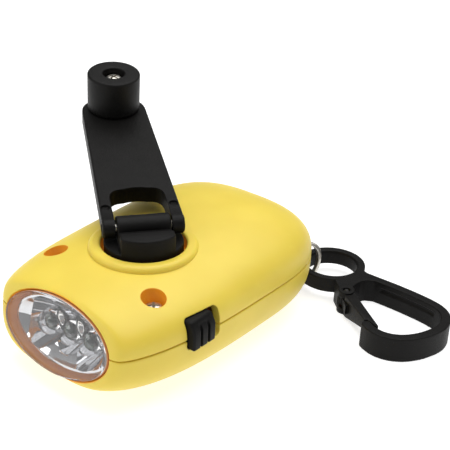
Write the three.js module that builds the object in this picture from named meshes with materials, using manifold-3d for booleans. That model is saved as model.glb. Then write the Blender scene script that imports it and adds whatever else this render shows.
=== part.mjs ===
// A hand crank flashlight with a fold-out crank, a slide switch and a carabiner on a split ring.
// Millimetres, +Z up. The crank turns about the Z axis, +X points out of the lens, +Y is the side with
// the switch, and the origin lies on the table under the crank.
import * as THREE from "three";
import { mergeVertices } from "three/addons/utils/BufferGeometryUtils.js";
import Module from "manifold-3d";

const wasm = await Module();
wasm.setup();

// Shared fits
const gap = 0.3; // between two pieces that touch or turn on each other
const overrun = 2; // how far a cut passes the faces that it opens
const roundSides = 24; // facets of a small round
const ringSides = 44; // facets of a large round
const knobSides = 32; // facets of a round between the two
const pinSides = 12; // facets of a pin or its bore
const edgeSteps = 2; // facets of a rounded rim
const facetTolerance = 0.02;
const cornerSteps = 4; // facets of a rounded corner in an outline

// Body, a plan with a blunt nose and a rounder tail, cut flat under the lens and under the belly
const partingHeight = 15.8;
const partingGap = 0.3;
const bodyHalfWidth = 27.5;
const widestX = -20;
const noseLength = 57;
const tailLength = 31.6;
const crownHeight = 11.9;
const crownFallToNose = 1.6;
const crownFallToSide = 1.8;
const footCut = 0.5; // what the flat foot takes off the belly
const bellyDepth = partingHeight + footCut;
const bodyTop = partingHeight + crownHeight;
const bodyReach = noseLength + tailLength; // past either end of the body
const wall = 2;
const noseFullnessShare = 2.85;
const tailFullnessShare = 3;
const shoulderFullnessShare = 4;
const bodySides = 48;
const bodyRings = 6;
const cavitySides = 32;
const cavityRings = 7;

// Face, the flat that the lens fills
const faceX = 30.5;
const faceDrop = 0.9;
const faceZ = partingHeight - faceDrop;
const faceLeanDegrees = 15;
const bezelDepth = 12.5;
const bezelBack = faceX - bezelDepth;
const lensWidthShare = 0.6255;
const lensHeightShare = 0.579;
const lensHalfWidth = bodyHalfWidth * lensWidthShare;
const lensHalfHeight = partingHeight * lensHeightShare;
const lensThickness = 1.5;
const lensTunnelDepth = 9.5;

// Reflector and its three LEDs, all measured back from the face
const reflectorRimDepth = 3.2;
const reflectorRimInset = 1.35;
const reflectorRimHalfWidth = lensHalfWidth - reflectorRimInset;
const reflectorRimHalfHeight = lensHalfHeight - reflectorRimInset;
const reflectorWall = 0.8;
const dishHalfWidth = reflectorRimHalfWidth - reflectorWall;
const dishHalfHeight = reflectorRimHalfHeight - reflectorWall;
const reflectorBackDepth = 12.4;
const flangeThickness = 1.2;
const dishDepth = 3.4;
const cupMargin = 0.6;
const cupRimRadius = dishHalfHeight - cupMargin;
const cupDepth = 7.6;
const bowlSteps = 3;
const ledCount = 3;
const ledRadius = 2.5;
const ledFlangeRadius = 2.9;
const ledFlangeHeight = 1;
const ledHeight = 8.6;
const ledTipDepth = 4.8;
const ledDomeSteps = 3;
const ledSpacingShare = 0.4385;
const ledSpacing = Math.max(dishHalfWidth * ledSpacingShare, ledFlangeRadius * 2 + gap);
const ledBoardEndInset = 4;
const ledBoardEdgeInset = 2;
const boardThickness = 1.2;

// Crank ring, the raised collar that the rotor turns in
const ringDrop = 0.2;
const ringTop = bodyTop - ringDrop;
const ringOuterRadius = 13.5;
const ringInnerRadius = 10.8;
const ringEdge = 0.8;
const recessDepth = 2.9;
const recessFloor = ringTop - recessDepth;
const bearingThickness = 1.7;
const bearingUnderside = recessFloor - bearingThickness;
const stemRadius = 3.3;

// Crank rotor: a turntable with a drive block in front and a hinge barrel behind
const crankRestDegrees = 52.6;
const rotorRadius = 10;
const rotorRise = 0.9;
const rotorTop = ringTop + rotorRise;
const rotorEdge = 0.4;
const blockHeight = 4.4;
const blockTop = rotorTop + blockHeight;
const blockFront = 10;
const blockBack = 4.6;
const blockHalfWidth = 6.7;
const hingeSetback = 1.2;
const hingeRise = 3.1;
const hingeHeight = rotorTop + hingeRise;
const barrelRadius = 2.9;
const webHalfDepth = 2.4;
const hingePinRadius = 1;

// Crank arm, measured from the hinge towards the knob
const armRestDegrees = 9.6;
const armHalfThickness = 2.3;
const armHalfWidthAtHinge = 10.25;
const armHalfWidthAtKnob = 9.25;
const armReach = 55.2;
const armTail = 7.8;
const armCornerRadius = 5;
const windowHalfWidth = 7.1;
const windowFar = 13.2;
const windowBulge = 1;
const lugRadius = 2.5;
const dimpleRadius = 1.1;
const dimpleDepth = 0.5;
const dimpleReach = 5.6;

// Knob on its post
const knobRadius = 7.3;
const knobHeight = 11.2;
const knobEdge = 0.5;
const knobShoulderBottom = 5.6;
const knobShoulderTop = 7;
const counterboreRadius = 3.4;
const postRadius = 2.2;
const screwHeadRadius = 2.3;
const screwHeadHeight = 1.6;
const screwShankRadius = 1.1;
const screwHoleRadius = 1.4;
const screwBite = 5;

// Gears: tooth counts, modules, widths and heights of the train
const gearAddendumShare = 0.8;
const gearDedendumShare = 1.15;
const gearBacklashShare = 0.2;
const pressureDegrees = 25;
const rootNarrowingShare = 0.6;
const flankSteps = 1;
const driveTeethCount = 40;
const gearRoomShare = 0.6545;
const gearRoom = Math.min(bezelBack, bodyHalfWidth * gearRoomShare);
const moduleShare = 0.04445;
const driveModule = gearRoom * moduleShare;
const firstPinionTeethCount = 10;
const firstWheelTeethCount = 32;
const firstWheelModuleShare = 0.75;
const firstWheelModule = driveModule * firstWheelModuleShare;
const secondPinionTeethCount = 10;
const secondWheelTeethCount = 30;
const secondWheelModuleShare = 0.625;
const secondWheelModule = driveModule * secondWheelModuleShare;
const rotorPinionTeethCount = 10;
const driveGearDrop = 3.5;
const driveGearBottom = bearingUnderside - driveGearDrop;
const driveGearThickness = 3;
const wheelDrop = 3.2;
const firstWheelBottom = driveGearBottom - wheelDrop;
const secondWheelBottom = firstWheelBottom - wheelDrop;
const wheelThickness = 2;
const pinionExtra = 0.3;
const squareHalf = 2.2;
const gearScrewHeadRadius = 4;
const gearScrewHeadHeight = 1.2;
const axleRadius = 1;
const axlePostRadius = 2.3;
const axleHeadroom = 3.7;
const axleTop = bodyTop - axleHeadroom;
const ceilingBossGrip = 1;
const ceilingBossBottom = axleTop - ceilingBossGrip;
const firstAxleDegrees = 193;
const secondAxleDegrees = 246;
const generatorDegrees = 14;

// Generator under the train
const magnetRadius = 4.2;
const magnetBottom = 4.8;
const magnetDrop = 1.6;
const magnetTop = secondWheelBottom - magnetDrop;
const coilInnerRadius = 4.8;
const coilOuterRadius = 6.3;
const cupWall = 0.7;
const cupRise = 0.6;
const cupTop = magnetTop + cupRise;
const cupFloor = 0.8;
const cupPadRadius = 5;
const cupPadTop = 3.3;
const cupBottom = cupPadTop + gap;

// Main board, switch and cells
const mainBoardDrop = 5.3;
const mainBoardBottom = partingHeight - mainBoardDrop;
const mainBoardBackX = -3;
const mainBoardFrontX = 10.8;
const mainBoardFarY = -12;
const boardPostRadius = 2;
const boardPostX = 4;
const boardPostFarY = -8;
const boardPostNearY = 13;
const cellRadius = 5.8;
const cellHeight = 4.9;
const cellCount = 3;
const cellX = -30.5;
const cellY = 9.6;
const switchSlotBackX = 2;
const switchSlotFrontX = 12.6;
const switchSlotDrop = 2.7;
const switchSlotHeight = 8;
const switchSlotBottom = partingHeight - switchSlotDrop;
const switchSlotTop = switchSlotBottom + switchSlotHeight;
const switchSlotCorner = 1.2;
const switchTravel = 2.2;
const buttonProud = 1.2;
const buttonProudY = bodyHalfWidth + buttonProud;
const buttonDepth = 6.1;
const buttonRootY = buttonProudY - buttonDepth;
const buttonFlangeThickness = 1;
const buttonFlangeY = buttonRootY - buttonFlangeThickness;
const buttonFlangeOverlap = 0.8;
const buttonGrooveWidth = 0.9;
const buttonGrooveDepth = 0.8;
const buttonGrooveCount = 2;
const buttonChamfer = 1.2;
const switchBodyDepth = 4.2;
const switchBodyFarY = buttonFlangeY - switchBodyDepth;
const switchBodyHeight = 7;
const switchBodyBackX = 3;
const switchTabHalfLength = 1;
const switchTabHeight = 1.6;
const switchTabDepth = 1.8;

// Housing screws in their wells
const wellX = 14.3;
const wellInset = 10.9;
const wellY = bodyHalfWidth - wellInset;
const wellRadius = 2.8;
const wellWall = 1.2;
const wellRise = 5;
const wellFloor = partingHeight + wellRise;
const wellFloorThickness = 1.5;
const screwBossRadius = 2.8;
const housingScrewBottom = 7;

// Tail: the knob notch, the lanyard slot and its bar
const notchX = -54;
const notchRadius = 9.3;
const notchRise = 1.7;
const notchFloor = partingHeight + notchRise;
const slotFrontRoom = 3.4;
const slotFarRoom = 1.4;
const slotNearRoom = 1.2;
const slotHeadroom = 0.5;
const slotWall = 1.6;
const barRadius = 1;

// Split ring, standing on edge as high as the slot at the tail lets it
const splitRingHeadroom = 2.3;
const splitRingBand = 1.15;
const splitRingRadius = (partingHeight - splitRingHeadroom) / 2;
const splitRingInnerRadius = splitRingRadius - splitRingBand;
const splitRingWidth = 1.6;
const splitRingGroove = 0.2;
const splitRingX = -49.4;
const splitRingYShare = 0.5818;
const splitRingY = bodyHalfWidth * splitRingYShare;
const splitRingLift = 0.2;
const splitRingZ = splitRingRadius + splitRingLift;
const splitRingTurnDegrees = 34.2;
const splitRingTurn = THREE.MathUtils.degToRad(splitRingTurnDegrees);
const barForwardShare = 0.384;
const barRiseShare = 0.357;
const barX = splitRingX + splitRingInnerRadius * barForwardShare;
const barZ = splitRingZ + splitRingInnerRadius * barRiseShare;
const slotFrontX = splitRingX + splitRingRadius * Math.cos(splitRingTurn) + slotFrontRoom;
const slotFarY = splitRingY - splitRingRadius * Math.sin(splitRingTurn) - slotFarRoom;
const slotNearY = splitRingY + slotNearRoom;
const slotTop = splitRingZ + splitRingRadius + slotHeadroom;

// Carabiner, measured from the centre of its eye along and across its length
const eyeBehindRing = 7.6;
const eyeBesideRing = 5.2;
const eyeX = splitRingX - eyeBehindRing;
const eyeY = splitRingY + eyeBesideRing;
const carabinerDegrees = 71;
const carabinerTop = 5.6;
const eyeHeight = 3.5;
const eyeHoleRadius = 7.4;
const eyeRadius = 10;
const frameHalfBand = 2.1;
const framePath = [
  [8.2, -1.8],
  [15, 3.4],
  [25, 6.4],
  [34, 8.6],
  [39.8, 7],
  [42.4, 1.5],
  [42.6, -5],
  [40.6, -10.8],
  [36.4, -14.2],
  [31, -15.4],
];
const framePathSteps = 24;
const neckPath = [
  [5.2, -8.2],
  [12.6, -10],
  [14.4, -3.6],
  [16, 0.6],
  [19.4, 2.4],
  [8.8, 5],
];
const frameLedgeWidth = 1.2;
const frameLedgeDepth = 0.8;
const pivotAlong = 14.4;
const pivotAcross = -6.7;
const forkRadius = 3.2;
const knuckleRadius = 2.4;
const forkPlate = 1.6;
const gatePinRadius = 0.9;
const gateOutline = [
  [17.4, -3.9],
  [34.7, -10.6],
  [33.6, -12.7],
  [30.1, -12.7],
  [28.6, -16.4],
  [23.4, -16.2],
  [18.6, -13.4],
  [15.6, -10.6],
];

// Colours and finishes
const finishes = {
  yellowPlastic: { color: 0xf2cf3c, roughness: 0.45, metalness: 0 },
  blackPlastic: { color: 0x1c1b1a, roughness: 0.6, metalness: 0 },
  steel: { color: 0xb9b6ae, roughness: 0.3, metalness: 1 },
  chromedPlastic: { color: 0xd7d9dc, roughness: 0.1, metalness: 1 },
  clearPlastic: { color: 0xf4f7f8, roughness: 0.05, metalness: 0, transparent: true, opacity: 0.3 },
  ledResin: { color: 0xeef2f4, roughness: 0.1, metalness: 0 },
  whitePlastic: { color: 0xe9e7e0, roughness: 0.5, metalness: 0 },
  greenBoard: { color: 0x2c6b3f, roughness: 0.5, metalness: 0 },
  magnetBlack: { color: 0x33343a, roughness: 0.5, metalness: 0.4 },
  copper: { color: 0xb4683a, roughness: 0.4, metalness: 1 },
};

// Solids from three.js geometry, joined and cut
const weldShare = 1e-4;

function solidOf(geometry) {
  const flat = geometry.index ? geometry.toNonIndexed() : geometry.clone();
  flat.deleteAttribute("normal");
  flat.deleteAttribute("uv");
  const welded = mergeVertices(flat, weldShare);
  return new wasm.Manifold(
    new wasm.Mesh({
      numProp: 3,
      vertProperties: welded.attributes.position.array,
      triVerts: new Uint32Array(welded.index.array),
    }),
  );
}

function geometryOf(solid) {
  const mesh = solid.getMesh();
  const geometry = new THREE.BufferGeometry();
  geometry.setAttribute("position", new THREE.BufferAttribute(mesh.vertProperties, mesh.numProp));
  geometry.setIndex(new THREE.BufferAttribute(mesh.triVerts, 1));
  geometry.computeVertexNormals();
  return geometry;
}

function join(first, ...rest) {
  return rest.reduce((sum, solid) => sum.add(solid), first);
}

function cut(base, ...tools) {
  return tools.reduce((left, tool) => left.subtract(tool), base);
}

function placed(solid, matrix) {
  return solidOf(geometryOf(solid).applyMatrix4(matrix));
}

// Basic shapes, each placed where it lies
function rod(radius, bottom, top, x = 0, y = 0, sides = roundSides) {
  const geometry = new THREE.CylinderGeometry(radius, radius, top - bottom, sides);
  geometry.rotateX(Math.PI / 2);
  geometry.translate(x, y, (bottom + top) / 2);
  return solidOf(geometry);
}

function rodAlongY(radius, from, to, x, z, sides = pinSides) {
  const geometry = new THREE.CylinderGeometry(radius, radius, to - from, sides);
  geometry.translate(x, (from + to) / 2, z);
  return solidOf(geometry);
}

function block(x0, x1, y0, y1, z0, z1) {
  const geometry = new THREE.BoxGeometry(x1 - x0, y1 - y0, z1 - z0);
  geometry.translate((x0 + x1) / 2, (y0 + y1) / 2, (z0 + z1) / 2);
  return solidOf(geometry);
}

function prism(shape, bottom, top, curveSegments = cornerSteps) {
  const geometry = new THREE.ExtrudeGeometry(shape, { depth: top - bottom, bevelEnabled: false, curveSegments });
  geometry.translate(0, 0, bottom);
  return solidOf(geometry);
}

// A turned piece about Z from a list of [radius, height], bottom to top along the outside
function turned(profile, x = 0, y = 0, sides = roundSides) {
  const points = profile.map(([radius, height]) => new THREE.Vector2(radius, height));
  const geometry = new THREE.LatheGeometry(points, sides);
  geometry.rotateX(Math.PI / 2);
  geometry.translate(x, y, 0);
  return solidOf(geometry);
}

// The [radius, height] points of a rounded rim whose corner would stand at radius and top
function roundedRim(radius, top, edge, steps = edgeSteps) {
  return Array.from({ length: steps + 1 }, (unused, step) => {
    const turn = (step / steps) * (Math.PI / 2);
    return [radius - edge * (1 - Math.cos(turn)), top - edge * (1 - Math.sin(turn))];
  });
}

function polygon(points) {
  return new THREE.Shape(points.map(([x, y]) => new THREE.Vector2(x, y)));
}

// Oval plate square to X, between two depths behind the face, in the frame of the face
function ovalPlate(halfWidth, halfHeight, backDepth, frontDepth, sides = ringSides) {
  const geometry = new THREE.CylinderGeometry(1, 1, backDepth - frontDepth, sides);
  geometry.rotateZ(Math.PI / 2);
  geometry.scale(1, halfWidth, halfHeight);
  geometry.translate(-(backDepth + frontDepth) / 2, 0, 0);
  return solidOf(geometry);
}

// A paraboloid bowl opening forward in the frame of the face, to cut with
function bowl(halfWidth, halfHeight, rimDepth, depth, y) {
  const points = [new THREE.Vector2(0, -depth)];
  for (let step = 1; step <= bowlSteps; step += 1) {
    const share = step / bowlSteps;
    points.push(new THREE.Vector2(share, (share * share - 1) * depth));
  }
  points.push(new THREE.Vector2(1, overrun), new THREE.Vector2(0, overrun));
  const geometry = new THREE.LatheGeometry(points, roundSides);
  geometry.rotateZ(-Math.PI / 2);
  geometry.scale(1, halfWidth, halfHeight);
  geometry.translate(-rimDepth, y, 0);
  return solidOf(geometry);
}

const faceMatrix = new THREE.Matrix4()
  .makeTranslation(faceX, 0, faceZ)
  .multiply(new THREE.Matrix4().makeRotationY(THREE.MathUtils.degToRad(-faceLeanDegrees)));

// One half of the body as a closed dome on the parting plane: side 1 is the crown, -1 the belly
function bodyDome(side, inset, skirt, sides = bodySides, rings = bodyRings) {
  const positions = [];
  const power = (value, share) => Math.sign(value) * Math.abs(value) ** (2 / share);
  const heightAt = (x, y) =>
    side > 0
      ? crownHeight - (crownFallToNose * (x - widestX)) / noseLength - crownFallToSide * (y / bodyHalfWidth) ** 2
      : bellyDepth;
  const point = (ring, index) => {
    const lift = (ring / rings) * (Math.PI / 2);
    const reach = power(Math.sin(lift), shoulderFullnessShare);
    const rise = ring === rings ? 0 : power(Math.cos(lift), shoulderFullnessShare);
    const turn = (index / sides) * 2 * Math.PI;
    const forward = Math.cos(turn) > 0;
    const share = forward ? noseFullnessShare : tailFullnessShare;
    const length = (forward ? noseLength : tailLength) - inset;
    const x = widestX + reach * length * power(Math.cos(turn), share);
    const y = reach * (bodyHalfWidth - inset) * power(Math.sin(turn), share);
    return [x, y, partingHeight + side * (heightAt(x, y) - inset) * rise];
  };
  const push = (a, b, c) => positions.push(...(side > 0 ? [...a, ...b, ...c] : [...a, ...c, ...b]));
  const base = partingHeight - side * skirt;
  const top = point(0, 0);
  const foot = [widestX, 0, base];
  for (let index = 0; index < sides; index += 1) {
    push(top, point(1, index), point(1, index + 1));
    for (let ring = 1; ring < rings; ring += 1) {
      const [a, b] = [point(ring, index), point(ring, index + 1)];
      const [c, d] = [point(ring + 1, index + 1), point(ring + 1, index)];
      push(a, d, c);
      push(a, c, b);
    }
    const [rimA, rimB] = [point(rings, index), point(rings, index + 1)];
    const [lowA, lowB] = [[rimA[0], rimA[1], base], [rimB[0], rimB[1], base]];
    push(rimA, lowA, lowB);
    push(rimA, lowB, rimB);
    push(lowA, foot, lowB);
  }
  const geometry = new THREE.BufferGeometry();
  geometry.setAttribute("position", new THREE.BufferAttribute(new Float32Array(positions), 3));
  return solidOf(geometry);
}

// What lies in front of the face, and the tunnel behind it that takes the lens and the reflector
function faceCuts() {
  const front = block(0, bodyReach, -bodyReach, bodyReach, -bodyReach, bodyReach);
  const tunnel = ovalPlate(lensHalfWidth + gap, lensHalfHeight + gap, lensTunnelDepth, -overrun);
  const leanShare = Math.tan(THREE.MathUtils.degToRad(faceLeanDegrees));
  const window = ovalPlate(
    reflectorRimHalfWidth,
    reflectorRimHalfHeight,
    bezelDepth + reflectorRimHalfHeight * leanShare + overrun,
    lensTunnelDepth - gap,
  );
  return [front, tunnel, window].map((solid) => placed(solid, faceMatrix));
}

function cavity(side) {
  const hollow = bodyDome(side, wall, overrun, cavitySides, cavityRings);
  const front = block(bezelBack, bodyReach, -bodyReach, bodyReach, -bodyReach, bodyReach);
  return cut(hollow, front);
}

const signs = [1, -1];

// Upper shell: crown, crank ring and bearing, screw wells, knob notch, switch opening, axle bosses
function upperShell() {
  const crown = bodyDome(1, 0, 0);
  const ring = turned([
    [0, bearingUnderside],
    [ringOuterRadius, bearingUnderside],
    ...roundedRim(ringOuterRadius, ringTop, ringEdge),
    [0, ringTop],
  ], 0, 0, ringSides);
  const inside = (solid) => solid.intersect(crown);
  const wells = signs.map((side) =>
    inside(
      join(
        rod(wellRadius + wellWall, wellFloor - wellFloorThickness, bodyTop, wellX, side * wellY),
        rod(screwBossRadius, partingHeight, wellFloor, wellX, side * wellY),
      ),
    ),
  );
  const notchWall = inside(rod(notchRadius + wall, partingHeight, bodyTop, notchX, 0, ringSides));
  const bosses = axlePlaces().map(([x, y]) => inside(rod(axlePostRadius, ceilingBossBottom, bodyTop, x, y)));
  const shell = join(cut(crown, cavity(1)), ...wells, notchWall, ring, ...bosses);
  const wellCuts = signs.flatMap((side) => [
    rod(wellRadius, wellFloor, bodyTop + overrun, wellX, side * wellY),
    rod(screwHoleRadius, partingHeight - overrun, wellFloor + overrun, wellX, side * wellY, pinSides),
  ]);
  return cut(
    shell,
    rod(ringInnerRadius, recessFloor, ringTop + overrun, 0, 0, ringSides),
    rod(stemRadius + gap, bearingUnderside - overrun, ringTop),
    rod(notchRadius, notchFloor, bodyTop + overrun, notchX, 0, ringSides),
    ...wellCuts,
    ...axlePlaces().map(([x, y]) => rod(axleRadius + gap, ceilingBossBottom - overrun, axleTop + gap, x, y, pinSides)),
    switchOpening(),
    partingCut(),
    ...faceCuts(),
  );
}

// Lower shell: belly with a flat foot, screw bosses, axle and board posts, lanyard slot
function lowerShell() {
  const belly = bodyDome(-1, 0, 0);
  const inside = (solid) => solid.intersect(belly);
  const slotBox = inside(
    block(-bodyReach, slotFrontX + slotWall, slotFarY - slotWall, slotNearY + slotWall, 0, slotTop + slotWall),
  );
  const floor = inside(block(-bodyReach, bodyReach, -bodyReach, bodyReach, 0, wall));
  const bosses = inside(join(...signs.map((side) => rod(screwBossRadius, 0, partingHeight, wellX, side * wellY))));
  const posts = [
    ...axlePlaces().map(([x, y], index) => rod(axlePostRadius, 0, axlePostTops[index], x, y)),
    rod(cupPadRadius, 0, cupPadTop, ...generatorPlace),
    rod(boardPostRadius, 0, mainBoardBottom - gap, boardPostX, boardPostFarY, pinSides),
    rod(boardPostRadius, 0, mainBoardBottom - gap, boardPostX, boardPostNearY, pinSides),
  ];
  const shell = join(cut(belly, cavity(-1)), slotBox, floor, bosses, ...posts);
  return cut(
    shell,
    block(-bodyReach, slotFrontX, slotFarY, slotNearY, -overrun, slotTop),
    rodAlongY(barRadius + gap, slotFarY - slotWall - overrun, slotNearY + slotWall, barX, barZ),
    ...signs.map((side) => rod(screwHoleRadius, housingScrewBottom - gap, bodyTop, wellX, side * wellY, pinSides)),
    ...trainPlaces.slice(1).map(([x, y]) => rod(axleRadius + gap, wall, bodyTop, x, y, pinSides)),
    block(-bodyReach, bodyReach, -bodyReach, bodyReach, -bodyReach, 0),
    switchOpening(),
    partingCut(),
    ...faceCuts(),
  );
}

// The narrow slit left between the shells
function partingCut() {
  const half = partingGap / 2;
  return block(-bodyReach, bodyReach, -bodyReach, bodyReach, partingHeight - half, partingHeight + half);
}

// A plate with rounded corners in X and Z, extruded along Y
function sidePlate(x0, x1, z0, z1, corner, y0, y1) {
  const outline = new THREE.Shape();
  outline.moveTo(x0 + corner, z0);
  outline.lineTo(x1 - corner, z0);
  outline.absarc(x1 - corner, z0 + corner, corner, -Math.PI / 2, 0);
  outline.absarc(x1 - corner, z1 - corner, corner, 0, Math.PI / 2);
  outline.absarc(x0 + corner, z1 - corner, corner, Math.PI / 2, Math.PI);
  outline.absarc(x0 + corner, z0 + corner, corner, Math.PI, -Math.PI / 2);
  const toSide = new THREE.Matrix4().makeRotationX(Math.PI / 2);
  return placed(prism(outline, -y1, -y0), toSide);
}

function switchOpening() {
  return sidePlate(
    switchSlotBackX,
    switchSlotFrontX,
    switchSlotBottom,
    switchSlotTop,
    switchSlotCorner,
    buttonRootY - overrun,
    bodyHalfWidth + overrun,
  );
}

// Clear lens and the optics behind it, in the frame of the face
function frontLens() {
  return ovalPlate(lensHalfWidth, lensHalfHeight, lensThickness, 0);
}

function ledPlaces() {
  return Array.from({ length: ledCount }, (unused, index) => (index - (ledCount - 1) / 2) * ledSpacing);
}

function reflector() {
  const rim = ovalPlate(reflectorRimHalfWidth, reflectorRimHalfHeight, lensTunnelDepth - gap, reflectorRimDepth);
  const flange = ovalPlate(
    lensHalfWidth,
    lensHalfHeight,
    lensTunnelDepth - gap,
    lensTunnelDepth - gap - flangeThickness,
  );
  const neck = ovalPlate(dishHalfWidth, dishHalfHeight, reflectorBackDepth, lensTunnelDepth - flangeThickness);
  const dish = bowl(dishHalfWidth, dishHalfHeight, reflectorRimDepth, dishDepth, 0);
  const cups = ledPlaces().map((y) => bowl(cupRimRadius, cupRimRadius, reflectorRimDepth, cupDepth, y));
  const holes = ledPlaces().map((y) => {
    const hole = new THREE.CylinderGeometry(ledRadius + gap, ledRadius + gap, reflectorBackDepth, pinSides);
    hole.rotateZ(Math.PI / 2);
    hole.translate(-reflectorBackDepth, y, 0);
    return solidOf(hole);
  });
  return cut(join(rim, flange, neck), dish, ...cups, ...holes);
}

function led(y) {
  const shoulder = ledHeight - ledRadius;
  const profile = [
    [0, 0],
    [ledFlangeRadius, 0],
    [ledFlangeRadius, ledFlangeHeight],
    [ledRadius, ledFlangeHeight],
  ];
  for (let step = 0; step < ledDomeSteps; step += 1) {
    const turn = (step / ledDomeSteps) * (Math.PI / 2);
    profile.push([ledRadius * Math.cos(turn), shoulder + ledRadius * Math.sin(turn)]);
  }
  profile.push([0, ledHeight]);
  const geometry = geometryOf(turned(profile, 0, 0, pinSides));
  geometry.rotateY(Math.PI / 2);
  geometry.translate(-ledTipDepth - ledHeight, y, 0);
  return solidOf(geometry);
}

function ledBoard() {
  const front = -ledTipDepth - ledHeight - gap;
  const halfWidth = dishHalfWidth - ledBoardEndInset;
  const halfHeight = dishHalfHeight - ledBoardEdgeInset;
  return block(front - boardThickness, front, -halfWidth, halfWidth, -halfHeight, halfHeight);
}

// Rotor in the frame of the crank: +X to the block, -X to the arm
function crankRotor() {
  const disc = turned([
    [0, recessFloor + gap],
    [rotorRadius, recessFloor + gap],
    ...roundedRim(rotorRadius, rotorTop, rotorEdge),
    [0, rotorTop],
  ], 0, 0, ringSides);
  const outline = rod(blockFront, rotorTop - overrun, blockTop, 0, 0, ringSides);
  const front = outline.intersect(block(blockBack, blockFront, -blockHalfWidth, blockHalfWidth, rotorTop - rotorEdge, blockTop));
  const web = block(
    -hingeSetback - webHalfDepth,
    blockBack + rotorEdge,
    -blockHalfWidth,
    blockHalfWidth,
    rotorTop - rotorEdge,
    hingeHeight,
  );
  const barrel = rodAlongY(barrelRadius, -blockHalfWidth, blockHalfWidth, -hingeSetback, hingeHeight, roundSides);
  const stem = rod(stemRadius, bearingUnderside - gap, recessFloor + rotorEdge);
  const square = block(-squareHalf, squareHalf, -squareHalf, squareHalf, driveGearBottom, recessFloor);
  return cut(
    join(disc, front, web, barrel, stem, square),
    rodAlongY(hingePinRadius + gap, -rotorRadius, rotorRadius, -hingeSetback, hingeHeight),
    rod(screwHoleRadius, driveGearBottom - overrun, recessFloor, 0, 0, pinSides),
  );
}

function rotorScrew() {
  const headTop = driveGearBottom - gap;
  return turned([
    [0, headTop - gearScrewHeadHeight],
    [gearScrewHeadRadius, headTop - gearScrewHeadHeight],
    [gearScrewHeadRadius, headTop],
    [screwShankRadius, headTop],
    [screwShankRadius, recessFloor - gap],
    [0, recessFloor - gap],
  ]);
}

function hingePin() {
  const half = armHalfWidthAtHinge - gap;
  return rodAlongY(hingePinRadius, -half, half, 0, 0);
}

// Arm in the frame of its hinge: +X along the arm, Z through its thickness
function crankArm() {
  const end = armReach + armTail;
  const outline = new THREE.Shape();
  outline.moveTo(0, -armHalfWidthAtHinge);
  outline.lineTo(end - armCornerRadius, -armHalfWidthAtKnob);
  outline.quadraticCurveTo(end, -armHalfWidthAtKnob, end, -armHalfWidthAtKnob + armCornerRadius);
  outline.lineTo(end, armHalfWidthAtKnob - armCornerRadius);
  outline.quadraticCurveTo(end, armHalfWidthAtKnob, end - armCornerRadius, armHalfWidthAtKnob);
  outline.lineTo(0, armHalfWidthAtHinge);
  const plate = prism(outline, -armHalfThickness, armHalfThickness);
  const knuckle = rodAlongY(lugRadius, -armHalfWidthAtHinge, armHalfWidthAtHinge, 0, 0, roundSides);
  const post = rod(postRadius, 0, armHalfThickness + knobShoulderBottom - gap, armReach, 0);
  const window = new THREE.Shape();
  window.moveTo(-lugRadius - overrun, -windowHalfWidth);
  window.lineTo(windowFar - windowBulge, -windowHalfWidth);
  window.quadraticCurveTo(windowFar, -windowHalfWidth, windowFar, -windowHalfWidth + windowBulge);
  window.quadraticCurveTo(windowFar + windowBulge, 0, windowFar, windowHalfWidth - windowBulge);
  window.quadraticCurveTo(windowFar, windowHalfWidth, windowFar - windowBulge, windowHalfWidth);
  window.lineTo(-lugRadius - overrun, windowHalfWidth);
  const dimpleY = (windowHalfWidth + armHalfWidthAtHinge) / 2;
  const dimples = signs.map((side) =>
    rod(dimpleRadius, armHalfThickness - dimpleDepth, armHalfThickness + overrun, dimpleReach, side * dimpleY, pinSides),
  );
  return cut(
    join(plate, knuckle, post),
    prism(window, -lugRadius - overrun, lugRadius + overrun),
    rodAlongY(hingePinRadius + gap, -armHalfWidthAtHinge, armHalfWidthAtHinge, 0, 0),
    rod(screwHoleRadius, armHalfThickness + knobShoulderBottom - screwBite - gap, knobHeight, armReach, 0, pinSides),
    ...dimples,
  );
}

// Knob and its screw stand on the arm's top face at the end of its reach
function knob() {
  const bottom = armHalfThickness + gap;
  const top = armHalfThickness + knobHeight;
  const body = turned([
    [0, bottom],
    [knobRadius - knobEdge, bottom],
    [knobRadius, bottom + knobEdge],
    ...roundedRim(knobRadius, top, knobEdge),
    [0, top],
  ], armReach, 0, knobSides);
  return cut(
    body,
    rod(postRadius + gap, 0, armHalfThickness + knobShoulderBottom, armReach, 0),
    rod(screwHoleRadius, 0, top + overrun, armReach, 0, pinSides),
    rod(counterboreRadius, armHalfThickness + knobShoulderTop, top + overrun, armReach, 0),
  );
}

function crossHeadScrew(headBottom, shankBottom, x, y) {
  return turned([
    [0, shankBottom],
    [screwShankRadius, shankBottom],
    [screwShankRadius, headBottom],
    [screwHeadRadius, headBottom],
    [screwHeadRadius, headBottom + screwHeadHeight / 2],
    [screwHeadRadius / 2, headBottom + screwHeadHeight],
    [0, headBottom + screwHeadHeight],
  ], x, y, pinSides);
}

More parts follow.
